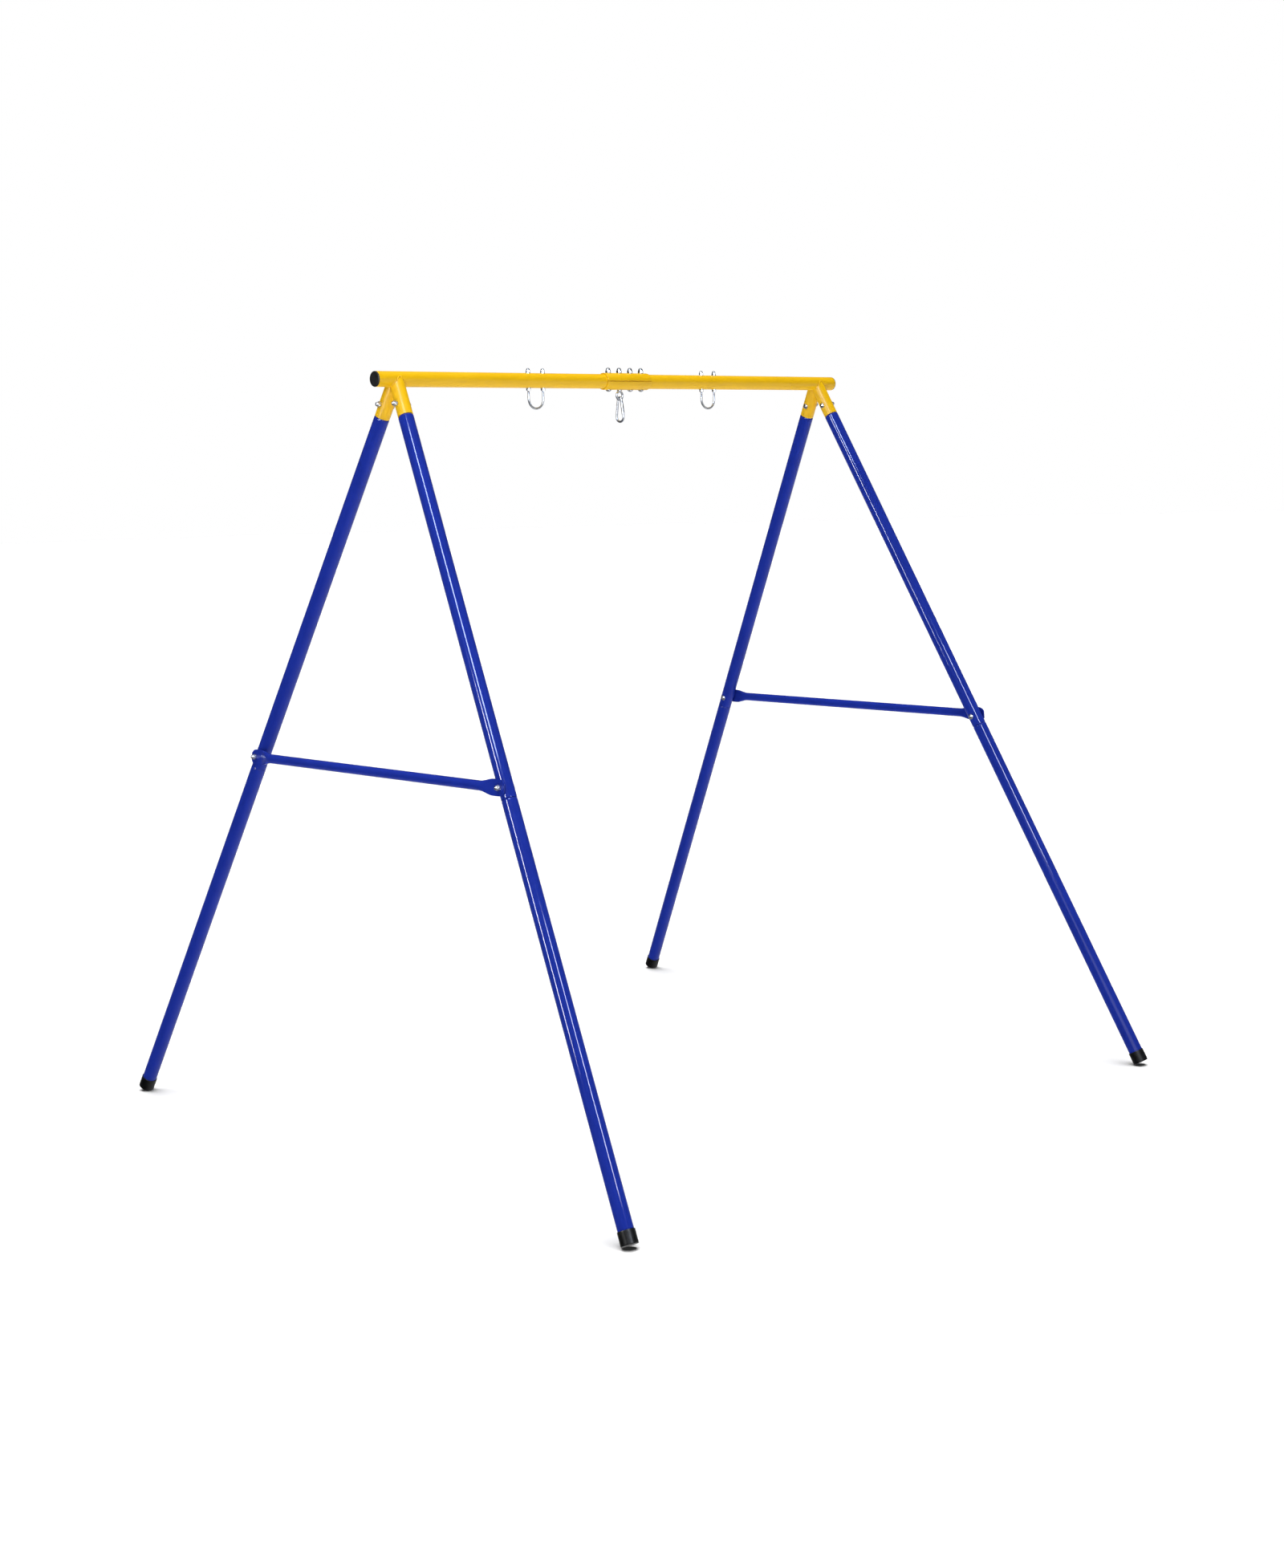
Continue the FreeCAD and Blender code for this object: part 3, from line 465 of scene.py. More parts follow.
# %% Ribbed foot caps
CAP_HEIGHT = 33 * MM
CAP_BORE = TUBE + 0.15 * MM
CAP_ROUND = 1.2 * MM
RIBS = 36
RIB_COLUMNS = 4
GROOVE = 0.45 * MM
SOLE_BAND = 3 * MM
LIP_BAND = 3.5 * MM

foot_cup = turned("foot_cup", [
    (CAP_BORE, FOOT_CAP_FLOOR), (CAP_BORE, CAP_HEIGHT), (FOOT_CAP - 0.5 * MM, CAP_HEIGHT),
    (FOOT_CAP - 0.1 * MM, CAP_HEIGHT - 0.3 * MM), (FOOT_CAP, CAP_HEIGHT - 0.8 * MM),
    (FOOT_CAP, CAP_HEIGHT - LIP_BAND), (FOOT_CAP, SOLE_BAND), (FOOT_CAP, CAP_ROUND),
    (FOOT_CAP - 0.35 * MM, CAP_ROUND * 0.35), (FOOT_CAP - CAP_ROUND, 0),
    (FOOT_CAP * 0.6, 0), (FOOT_CAP * 0.55, 0.5 * MM), (0, 0.5 * MM)], segments=RIBS * RIB_COLUMNS)
edit_all(foot_cup)
bpy.ops.mesh.select_mode(type="FACE")
bpy.ops.mesh.select_all(action="DESELECT")
cup = bmesh.from_edit_mesh(foot_cup.data)
column_angle = 2 * math.pi / (RIBS * RIB_COLUMNS)
for face in cup.faces:
    middle = face.calc_center_median()
    column = int(math.atan2(middle.y, middle.x) % (2 * math.pi) / column_angle)
    on_wall = SOLE_BAND < middle.z < CAP_HEIGHT - LIP_BAND and middle.to_2d().length > CAP_BORE + MM
    face.select = on_wall and column % RIB_COLUMNS == 0
bmesh.update_edit_mesh(foot_cup.data)
bpy.ops.mesh.extrude_region_shrink_fatten(TRANSFORM_OT_shrink_fatten={"value": -GROOVE})
close_edit(foot_cup)
for side, end in CORNERS:
    cap = copy_at(foot_cup, f"foot_cup_{side}_{end}", leg_place(SIDES[side], ENDS[end], CAP_END))
    finish_piece(cap, foot_rubber, [f"foot_cap_{side}_{end}"])

# %% [markdown]
# # The beam
# The beam is two plain tubes that meet inside a clamping sleeve. Each carries two short sockets,
# cut to a saddle and welded on before coating, so paint runs over tube, weld and socket alike.
# The sockets are turned, joined and cut with booleans, because a saddle cut is a boolean in the
# workshop too: a hole saw of the beam's own size.

# %% Beam tubes
beam_model = turned("beam_model", [
    (TUBE, BEAM_JOINT_GAP / 2 + EDGE), (TUBE, BEAM_JOINT_GAP / 2 + EDGE + HOLD),
    (TUBE, BEAM_END - EDGE - HOLD), (TUBE, BEAM_END - EDGE), (TUBE - EDGE / 3, BEAM_END - EDGE / 3),
    (TUBE - EDGE, BEAM_END), (TUBE - WALL, BEAM_END), (TUBE - WALL, BEAM_JOINT_GAP / 2),
    (TUBE - EDGE, BEAM_JOINT_GAP / 2)], segments=128, closed=True)
for side, sign in SIDES.items():
    place = half_turn(sign) @ Matrix.Translation((0, 0, BEAM_HEIGHT)) @ OUTWARDS
    tube = copy_at(beam_model, f"beam_tube_{side}", place)
    finish_piece(tube, yellow_coat, [f"beam_{side}_half"])

# %% Welded leg sockets
SOCKET_START = 4 * MM
BORE_START = 34 * MM


def socket_pair(name):
    """Two socket stubs at the right end of the beam, joined, bored and cut to its saddle."""
    outer = turned(name, [(SOCKET, -SOCKET_START), (SOCKET, -(SOCKET_MOUTH - HOLD)),
                          (SOCKET, -(SOCKET_MOUTH - 0.6 * MM)),
                          (SOCKET - 0.15 * MM, -(SOCKET_MOUTH - 0.2 * MM)),
                          (SOCKET - 0.5 * MM, -SOCKET_MOUTH), (0, -SOCKET_MOUTH)])
    bore = turned("bore", [(TUBE - WALL, -BORE_START), (TUBE - WALL, -1.2 * SOCKET_MOUTH),
                           (0, -1.2 * SOCKET_MOUTH)])
    pair = copy_at(outer, name, leg_place(RIGHT, FRONT))
    carve(pair, copy_at(outer, "rear", leg_place(RIGHT, REAR)), "UNION")
    carve(pair, copy_at(bore, "front_bore", leg_place(RIGHT, FRONT)))
    carve(pair, copy_at(bore, "rear_bore", leg_place(RIGHT, REAR)))
    bpy.ops.mesh.primitive_cylinder_add(vertices=128, radius=TUBE - 0.2 * MM, depth=0.4,
                                        location=(APEX_X, 0, BEAM_HEIGHT), rotation=(0, math.pi / 2, 0))
    carve(pair, bpy.context.object)
    for spare in (outer, bore):
        bpy.data.objects.remove(spare)
    return cleaned(pair)


sockets = socket_pair("socket_model")
for side, sign in SIDES.items():
    pair = copy_at(sockets, f"leg_sockets_{side}", half_turn(sign))
    finish_piece(pair, yellow_coat)
print("sockets:", len(sockets.data.polygons), "faces each pair")

# %% [markdown]
# A weld bead runs round each saddle and down the crease where the two stubs meet. It is a small
# round ridge with the scale-like ripples of a hand-held torch, about 2 mm apart. Its path is worked
# out: a line on the stub's surface, at each angle round the stub, is followed up to the beam's
# radius. A curve with a round bevel follows the path, and its radius swells at each ripple.

# %% Weld beads
BEAD = 1.5 * MM
RIPPLE = 2.2 * MM
RIPPLE_SWELL = 0.14
BEAD_POINTS = 360


def saddle_point(place, angle):
    """Where the stub's surface line at this angle meets the beam's surface."""
    start = place @ Vector((SOCKET * math.cos(angle), SOCKET * math.sin(angle), 0))
    along = (place @ Vector((0, 0, -1, 0))).to_3d()
    y, z = start.y, start.z - BEAM_HEIGHT
    a = along.y ** 2 + along.z ** 2
    b = 2 * (y * along.y + z * along.z)
    c = y ** 2 + z ** 2 - TUBE ** 2
    return start + along * ((-b + math.sqrt(b * b - 4 * a * c)) / (2 * a))


def crease_point(place, angle):
    """Where the stub's surface line at this angle meets the plane between the two stubs."""
    start = place @ Vector((SOCKET * math.cos(angle), SOCKET * math.sin(angle), 0))
    along = (place @ Vector((0, 0, -1, 0))).to_3d()
    return start - along * (start.y / along.y)


def bead(name, points, cyclic):
    """A rippled ridge of weld metal along a path."""
    bpy.ops.curve.primitive_bezier_curve_add()
    piece = bpy.context.object
    piece.matrix_world = Matrix()
    curve = piece.data
    curve.splines.clear()
    spline = curve.splines.new("POLY")
    spline.points.add(len(points) - 1)
    travelled = 0.0
    for number, (point, knot) in enumerate(zip(points, spline.points)):
        travelled += (point - points[max(number - 1, 0)]).length
        swell = RIPPLE_SWELL * abs(math.sin(math.pi * travelled / RIPPLE))
        knot.co = (*point, 1)
        knot.radius = 1 + swell
    spline.use_cyclic_u = cyclic
    curve.bevel_depth = BEAD
    curve.bevel_resolution = 3
    curve.use_fill_caps = True
    pick(piece)
    bpy.ops.object.convert(target="MESH")
    piece.name = piece.data.name = name
    return cleaned(piece, smooth=60)


angles = [2 * math.pi * step / BEAD_POINTS for step in range(BEAD_POINTS)]
beads = []
for end, sign in ENDS.items():
    saddle = [saddle_point(leg_place(RIGHT, sign), angle) for angle in angles]
    beads.append(bead(f"saddle_bead_{end}", saddle, True))
crease = [crease_point(leg_place(RIGHT, FRONT), angle) for angle in angles]
beyond = [point for point in crease if point.z < BEAM_HEIGHT - TUBE + BEAD]
start = max(range(len(beyond)), key=lambda number: (beyond[number] - beyond[number - 1]).length)
beads.append(bead("crease_bead", beyond[start:] + beyond[:start], False))
weld_model = joined("weld_model", beads)
for side, sign in SIDES.items():
    weld = copy_at(weld_model, f"weld_beads_{side}", half_turn(sign))
    finish_piece(weld, yellow_coat)
print("weld beads:", len(weld_model.data.polygons), "faces each end")

# %% [markdown]
# The ends of the beam are closed by moulded caps. Each is a shallow dome with a rounded rim over
# the tube's sawn end, and a plug inside the tube whose tip is tapered to find its way in.

# %% Beam end caps
LIP = 3 * MM
PLUG = 16 * MM
PLUG_RADIUS = TUBE - WALL - 0.15 * MM
end_plug = turned("end_plug", [
    (PLUG_RADIUS - 1 * MM, -PLUG), (PLUG_RADIUS, -PLUG + 1 * MM), (PLUG_RADIUS, 0), (TUBE, 0),
    (TUBE, 0.9 * MM), (TUBE - 0.2 * MM, 1.6 * MM), (TUBE - 0.75 * MM, 2.2 * MM),
    (TUBE - 1.6 * MM, 2.6 * MM), (TUBE - 3 * MM, 2.8 * MM), (TUBE * 0.6, 2.95 * MM), (TUBE * 0.3, LIP),
    (0, LIP)])
for side, sign in SIDES.items():
    place = half_turn(sign) @ Matrix.Translation((BEAM_END, 0, BEAM_HEIGHT)) @ OUTWARDS
    cap = copy_at(end_plug, f"end_plug_{side}", place)
    finish_piece(cap, cap_plastic, [f"end_cap_{side}"])

# %% [markdown]
# # The clamping sleeve
# Two half shells of pressed steel clamp the joint of the beam. A tube is cut along its middle by
# bisecting, thickened outwards from its inner face, and its edges are rounded with a bevel, which
# is what makes the cut ends read as thick painted steel.

# %% Sleeve shells
SLEEVE_HALF = 80 * MM
SPLIT = 2 * MM
bpy.ops.mesh.primitive_cylinder_add(vertices=128, radius=SLEEVE_INSIDE, depth=2 * SLEEVE_HALF,
                                    end_fill_type="NOTHING", rotation=(0, math.pi / 2, 0))
shell_model = stand(bpy.context.object, Matrix())
edit_all(shell_model)
bpy.ops.mesh.bisect(plane_co=(0, 0, SPLIT / 2), plane_no=(0, 0, 1), clear_inner=True)
close_edit(shell_model)
apply_modifier(shell_model, "SOLIDIFY", thickness=SLEEVE - SLEEVE_INSIDE, offset=1.0)
apply_modifier(shell_model, "BEVEL", width=0.9 * MM, segments=3, limit_method="ANGLE",
               angle_limit=math.radians(50))
cleaned(shell_model)
for level, turn in (("upper", Matrix()), ("lower", UPSIDE_DOWN)):
    place = Matrix.Translation((0, 0, BEAM_HEIGHT)) @ turn
    shell = copy_at(shell_model, f"sleeve_{level}", place)
    finish_piece(shell, yellow_coat, [f"sleeve_{level}_shell"])

# %% [markdown]
# # Bolts and nuts
# The frame bolts are M8 with domed heads, and cap nuts cover their ends. A nut's hexagon is turned
# off at 30 degrees top and bottom, which draws the curved edge seen on every real nut. So the
# hexagon is a six-sided cylinder intersected with a turned blank, and the dome is joined to it.


# %% Nuts
def hexagon(name, flats, height, chamfers):
    """A six-sided nut with its corners turned off at the top and, if asked, below."""
    corner = flats / math.sqrt(3)
    drop = (corner - flats / 2 * 0.97) * math.tan(math.radians(30))
    blank = [(flats / 2 * 0.97, 0), (corner * 1.01, drop)] if chamfers == 2 else [(corner * 1.01, 0)]
    blank += [(corner * 1.01, height - drop), (flats / 2 * 0.97, height), (0, height)]
    bpy.ops.mesh.primitive_cylinder_add(vertices=6, radius=corner, depth=height,
                                        location=(0, 0, height / 2))
    prism = stand(bpy.context.object, Matrix())
    prism.name = prism.data.name = name
    return carve(prism, turned("blank", blank), "INTERSECT")


def cap_nut(name, flats, hexagon_height, dome, height, depth, bore):
    """A closed nut: a hexagon with a thin seat, and a domed cap over the thread."""
    nut = hexagon(name, flats, hexagon_height, 1)
    profile = [(dome, 0.2 * hexagon_height), (dome, height - dome)]
    for step in range(1, 10):
        angle = math.pi / 2 * step / 10
        profile.append((dome * math.cos(angle), height - dome + dome * math.sin(angle)))
    carve(nut, turned("dome", profile + [(0, height)], segments=64), "UNION")
    carve(nut, turned("thread_hole", [(bore, -MM), (bore, depth), (0, depth)], segments=48))
    apply_modifier(nut, "BEVEL", width=0.15 * MM, segments=2, limit_method="ANGLE",
                   angle_limit=math.radians(25))
    return cleaned(nut, smooth=25)


M8_BORE = 4.05 * MM
HANGER_BORE = 2.85 * MM
frame_nut = cap_nut("frame_nut", 13 * MM, 6.5 * MM, 6 * MM, 14 * MM, 10.5 * MM, M8_BORE)
hanger_cap_nut = cap_nut("hanger_cap_nut", 10 * MM, 5 * MM, 4.7 * MM, 11 * MM, 8 * MM, HANGER_BORE)
hanger_nut = hexagon("hanger_nut", 10 * MM, 5 * MM, 2)
nut_hole = [(HANGER_BORE, -MM), (HANGER_BORE, 6 * MM), (0, 6 * MM)]
carve(hanger_nut, turned("nut_hole", nut_hole, segments=48))
cleaned(hanger_nut, smooth=25)
print("a cap nut has", len(frame_nut.data.polygons), "faces")

# %% [markdown]
# A domed head is forged in a die, so a short upright rim runs round it before the dome starts. The
# same turned model, with its shank cut to the length of each joint, serves sockets, braces and
# sleeve. The shank hides inside the tubes, and its end sits inside the cap nut.


# %% Domed bolts
HEAD = 7.5 * MM
HEAD_HEIGHT = 5 * MM
HEAD_RIM = 0.9 * MM
SHANK = 4 * MM
BOLT_ENTRY = 9 * MM


def domed_bolt(name, grip):
    """A bolt whose head hangs below Z = 0 and whose shank rises through the grip."""
    profile = [(SHANK, grip + BOLT_ENTRY), (SHANK, 0), (HEAD - 0.2 * MM, 0), (HEAD, -0.2 * MM),
               (HEAD, -HEAD_RIM)]
    rise = HEAD_HEIGHT - HEAD_RIM
    ball = (HEAD ** 2 + rise ** 2) / (2 * rise)
    for step in range(1, 10):
        radius = HEAD * (1 - step / 10)
        profile.append((radius, -HEAD_RIM - (math.sqrt(ball ** 2 - radius ** 2) - ball + rise)))
    return turned(name, profile + [(0, -HEAD_HEIGHT)], segments=64)


def leg_hardware(label, station, backing):
    """Four bolts with heads inside the A-frames, and four cap nuts outside."""
    bolt = domed_bolt("bolt_model", 2 * TUBE + backing)
    bolts, nuts = [], []
    for side, end in CORNERS:
        middle = leg_place(SIDES[side], ENDS[end], station) @ OUTWARDS
        bolts.append(copy_at(bolt, "bolt", middle @ Matrix.Translation((0, 0, -TUBE))))
        nuts.append(copy_at(frame_nut, "nut", middle @ Matrix.Translation((0, 0, TUBE + backing))))
    bpy.data.objects.remove(bolt)
    finish_piece(joined(f"{label}_domed_bolts", bolts), zinc, [f"{label}_bolts"])
    finish_piece(joined(f"{label}_cap_nuts", nuts), zinc, [f"{label}_nuts"])


leg_hardware("socket", SOCKET_BOLT, 0)
leg_hardware("brace", BRACE_BOLT, PADDLE_THICKNESS)

# %% Sleeve bolts and nuts
PITCH = 40 * MM
stations = [PITCH * factor for factor in (-1.5, -0.5, 0.5, 1.5)]
eye_station = stations[1]
sleeve_bolt = domed_bolt("sleeve_bolt", 2 * SLEEVE)
low, high = BEAM_HEIGHT - SLEEVE, BEAM_HEIGHT + SLEEVE
bolt_stations = [x for x in stations if x != eye_station]
bolts = [copy_at(sleeve_bolt, "bolt", Matrix.Translation((x, 0, low))) for x in bolt_stations]
nuts = [copy_at(frame_nut, "nut", Matrix.Translation((x, 0, high))) for x in stations]
finish_piece(joined("sleeve_domed_bolts", bolts), zinc, ["sleeve_bolts"])
finish_piece(joined("sleeve_cap_nuts", nuts), zinc, ["sleeve_nuts"])

# %% [markdown]
# # U-bolt hangers
# Each hanger is a rod bent to a U and threaded at both ends. A circle is extruded up one leg and
# spun half a turn round the bend. The thread is a small triangle swept by the Screw modifier, one
# turn for each millimetre of rise, and it stands on a rod cut down to the thread's root.

# %% U-bolts with cut threads
ROD = 2.8 * MM
ROOT = 2.4 * MM
THREAD_PITCH = 1 * MM
DROP = 46 * MM
THREAD_START = DROP - 39 * MM
WASHER = 1.4 * MM
WASHER_RADIUS = 6 * MM
WASHER_HOLE = 3.1 * MM
NUT_ENTRY = 7 * MM
ROD_END = DROP + TUBE + WASHER + NUT_ENTRY


def thread(name, turns, steps=24):
    """A helical ridge of triangular section that rises one pitch each turn."""
    bpy.ops.mesh.primitive_circle_add(vertices=3, radius=0.5 * MM, location=(ROOT, 0, 0),
                                      rotation=(math.pi / 2, math.pi / 2, 0))
    ridge = stand(bpy.context.object, Matrix())
    ridge.name = ridge.data.name = name
    corners = [(ROOT - 0.15 * MM, -0.48), (ROD, 0.0), (ROOT - 0.15 * MM, 0.48)]
    for vertex, (radius, share) in zip(ridge.data.vertices, corners):
        vertex.co = (radius, 0, share * THREAD_PITCH)
    apply_modifier(ridge, "SCREW", axis="Z", angle=2 * math.pi, screw_offset=THREAD_PITCH,
                   iterations=turns, steps=steps, render_steps=steps, use_merge_vertices=False)
    edit_all(ridge)
    bpy.ops.mesh.select_all(action="DESELECT")
    bpy.ops.mesh.select_non_manifold(extend=False)
    bpy.ops.mesh.edge_face_add()
    return close_edit(ridge, smooth=20)


def u_bolt(name):
    """The U hangs from Z = 0, where its bend starts, with legs at plus and minus X."""
    bpy.ops.mesh.primitive_circle_add(vertices=32, radius=ROD, location=(HANGER_REACH, 0, 0))
    rod = stand(bpy.context.object, Matrix())
    rod.name = rod.data.name = name
    edit_all(rod)
    bpy.ops.mesh.spin(steps=48, angle=-math.pi, center=(0, 0, 0), axis=(0, 1, 0))
    rod_mesh = bmesh.from_edit_mesh(rod.data)
    lowest = min(vertex.co.z for vertex in rod_mesh.verts)
    print(f"the bend reaches {lowest / MM:.1f} mm")
    for leg in (1, -1):
        middle = leg * HANGER_REACH
        bpy.ops.mesh.select_all(action="DESELECT")
        bpy.ops.mesh.select_mode(type="EDGE")
        rod_mesh = bmesh.from_edit_mesh(rod.data)
        for edge in rod_mesh.edges:
            ends = [vertex.co for vertex in edge.verts]
            level = all(abs(point.z) < 0.01 * MM for point in ends)
            edge.select = edge.is_boundary and level and all(point.x * leg > 0 for point in ends)
        bmesh.update_edit_mesh(rod.data)
        height = 0.0
        for radius, z in ((ROD, THREAD_START), (ROOT, THREAD_START + 0.6 * MM),
                          (ROOT, ROD_END - 0.4 * MM), (ROOT - 0.4 * MM, ROD_END)):
            bpy.ops.mesh.extrude_region_move(TRANSFORM_OT_translate={"value": (0, 0, z - height)})
            now = ROD if z <= THREAD_START + 0.6 * MM else ROOT
            bpy.ops.transform.resize(value=(radius / now, radius / now, 1), center_override=(middle, 0, z))
            height = z
        bpy.ops.mesh.edge_face_add()
    close_edit(rod)
    turns = round((ROD_END - THREAD_START) / THREAD_PITCH) - 2
    threads = []
    for leg in (1, -1):
        place = Matrix.Translation((leg * HANGER_REACH, 0, THREAD_START + 1.2 * MM))
        threads.append(stand(thread("thread", turns), place))
    return joined(name, [rod] + threads)


hanger_model = u_bolt("hanger_model")
washer_top = TUBE + WASHER
washer_seat = turned("washer_seat", [
    (WASHER_RADIUS, TUBE - 2 * MM), (WASHER_RADIUS, washer_top - 0.3 * MM),
    (WASHER_RADIUS - 0.3 * MM, washer_top), (0, washer_top)], segments=64)
washer_hole = [(WASHER_HOLE, 0), (WASHER_HOLE, 30 * MM), (0, 30 * MM)]
carve(washer_seat, turned("washer_hole", washer_hole, segments=48))
bpy.ops.mesh.primitive_cylinder_add(vertices=128, radius=TUBE, depth=50 * MM, rotation=(0, math.pi / 2, 0))
carve(washer_seat, bpy.context.object)
cleaned(washer_seat)

# %% Hangers on the beam
cap_nuts, plain_nuts, washers = [], [], []
for side, sign in SIDES.items():
    middle = Matrix.Translation((sign * HANGER_X, 0, BEAM_HEIGHT))
    hanger = copy_at(hanger_model, f"hanger_rod_{side}", middle @ Matrix.Translation((0, 0, -DROP)))
    finish_piece(hanger, zinc, [f"u_bolt_{side}"])
    for leg in (1, -1):
        axis = middle @ Matrix.Translation((leg * HANGER_REACH, 0, 0))
        seat = Matrix.Translation((0, 0, washer_top))
        for turn in (Matrix(), UPSIDE_DOWN):
            washers.append(copy_at(washer_seat, "washer", axis @ turn))
        cap_nuts.append(copy_at(hanger_cap_nut, "nut", axis @ seat))
        plain_nuts.append(copy_at(hanger_nut, "nut", axis @ UPSIDE_DOWN @ seat))
finish_piece(joined("hanger_cap_nuts", cap_nuts), zinc, ["u_bolt_cap_nuts"])
finish_piece(joined("hanger_nuts", plain_nuts), zinc, ["u_bolt_lower_nuts"])
finish_piece(joined("hanger_washers", washers), zinc, ["u_bolt_washers"])

# %% [markdown]
# # Cross braces
# A brace is a thin tube whose ends are squeezed flat in a press, so the round section flares into
# a flat paddle about as wide as half the tube's girth. Rings are extruded along the brace and each
# is reshaped to a superellipse, whose power runs from 2, a circle, to 9, nearly a flat bar. Half
# the brace is drawn, and a mirror makes the other half.

# %% Flattened brace tubes
BRACE = 12 * MM
PADDLE = 20 * MM
FLAT_POWER = 9.0
ROOT_LENGTH = 18 * MM
TIP_LENGTH = 17 * MM
FLARE = 52 * MM
FLARE_STEPS = 16
TIP_STEPS = 10
BRACE_SEGMENTS = 72
TIP_ROUND = math.hypot(TIP_LENGTH, PADDLE / 2)
bolt_middle = leg_place(RIGHT, REAR, BRACE_BOLT) @ Vector((0, 0, 0))
SPAN = bolt_middle.y
brace_drop = BRACE_BOLT * math.cos(math.atan2(FOOT_Y, SLOPE))


def squeezed(angle, half_width, half_thickness, power):
    """A point of a superellipse: X through the paddle, Y across it."""
    x = math.copysign(abs(math.cos(angle)) ** (2 / power), math.cos(angle)) * half_thickness
    y = math.copysign(abs(math.sin(angle)) ** (2 / power), math.sin(angle)) * half_width
    return x, y


def brace_sections():
    """From the middle of the brace to its tip: station, half width, half thickness, power."""
    flat = PADDLE_THICKNESS / 2
    flare_start = SPAN - ROOT_LENGTH - FLARE
    sections = [(station, BRACE, BRACE, 2.0) for station in (0, flare_start - HOLD, flare_start)]
    for step in range(1, FLARE_STEPS + 1):
        share = step / FLARE_STEPS
        press = (1 - math.cos(math.pi * share)) / 2
        sections.append((SPAN - ROOT_LENGTH - FLARE * (1 - share), BRACE + (PADDLE - BRACE) * press,
                         BRACE + (flat - BRACE) * press ** 0.8, 2 + (FLAT_POWER - 2) * press ** 2))
    for step in range(TIP_STEPS + 1):
        reach = TIP_LENGTH * math.sin(math.pi / 2 * step / TIP_STEPS)
        width = min(PADDLE, math.sqrt(TIP_ROUND ** 2 - reach ** 2))
        sections.append((SPAN + reach, width, flat, FLAT_POWER))
    return sections


bpy.ops.mesh.primitive_circle_add(vertices=BRACE_SEGMENTS, radius=BRACE)
brace_model = bpy.context.object
edit_all(brace_model)
sections = brace_sections()
for before, after in zip(sections, sections[1:]):
    bpy.ops.mesh.extrude_region_move(TRANSFORM_OT_translate={"value": (0, 0, after[0] - before[0])})
bpy.ops.mesh.edge_face_add()
half = bmesh.from_edit_mesh(brace_model.data)
for number, vertex in enumerate(half.verts):
    station, width, thickness, power = sections[number // BRACE_SEGMENTS]
    angle = 2 * math.pi * (number % BRACE_SEGMENTS + 0.5) / BRACE_SEGMENTS
    vertex.co = (*squeezed(angle, width, thickness, power), station)
bmesh.update_edit_mesh(brace_model.data)
close_edit(brace_model)
apply_modifier(brace_model, "MIRROR", use_axis=(False, False, True), merge_threshold=0.01 * MM)
cleaned(brace_model)
stand(brace_model, Matrix.Rotation(-math.pi / 2, 4, "X"))
for side, sign in SIDES.items():
    outwards = TUBE + PADDLE_THICKNESS / 2
    place = frame_place(sign) @ Matrix.Translation((outwards, 0, -brace_drop))
    piece = copy_at(brace_model, f"brace_tube_{side}", place)
    finish_piece(piece, blue_coat, [f"brace_{side}"])

# %% [markdown]
# # The snap hook and the eyebolt
# The CAD shapes of the eyebolt, the snap hook, its gate, pin and spring are already right: bent
# rod, forked gate, fine coil. They stay as they are, and only change their finish.

# %% Finishes of the pieces that stay
for node in ("hook_eyebolt", "snap_hook_body", "snap_hook_gate", "snap_hook_pin", "snap_hook_spring"):
    metal = spring_steel if node == "snap_hook_spring" else zinc
    for number in range(len(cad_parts[node].material_slots)):
        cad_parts[node].material_slots[number].material = metal

for spare in (upper_tube, lower_tube, foot_cup, beam_model, sockets, weld_model, end_plug, shell_model,
              frame_nut, hanger_cap_nut, hanger_nut, sleeve_bolt, hanger_model, washer_seat, brace_model):
    bpy.data.objects.remove(spare)

# %% [markdown]
# # The studio
# The stand is shown on a white floor in an evenly white room, as in a catalogue. Gloss paint looks
# rich only if it mirrors something dark with a few bright shapes in it. So the white room is a dome
# that only the camera sees. What the paint and metal mirror is a dim studio instead: dark round the
# sides, pale straight overhead for the domed nuts, and below the horizon a floor that grows paler
# towards one side, which gives the tubes their pale edges there.

# %% White floor and dome
ROOM = 60


def studio_finish(name, kind, values, output_socket):
    """A plain stage finish made of one shader."""
    material, tree, output, _ = empty_material(name)
    shader = add(tree, kind, values)
    tree.links.new(shader.outputs[output_socket], output.inputs["Surface"])
    return material


bpy.ops.mesh.primitive_circle_add(vertices=64, radius=ROOM, fill_type="NGON")
floor = bpy.context.object
floor.name = floor.data.name = "studio_floor"
floor.data.materials.append(studio_finish("matt_white_floor_paint", "ShaderNodeBsdfDiffuse",
                                          {"Color": paint("#F2F2F2")}, "BSDF"))
bpy.ops.mesh.primitive_uv_sphere_add(segments=64, ring_count=32, radius=ROOM)
dome = bpy.context.object
dome.name = dome.data.name = "studio_dome"
dome.data.materials.append(studio_finish("evenly_lit_white_dome", "ShaderNodeEmission",
                                         {"Color": (1, 1, 1, 1), "Strength": 1.0}, "Emission"))
for piece in (floor, dome):
    piece.visible_glossy = False
    piece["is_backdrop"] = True
dome.visible_diffuse = False
dome.visible_shadow = False

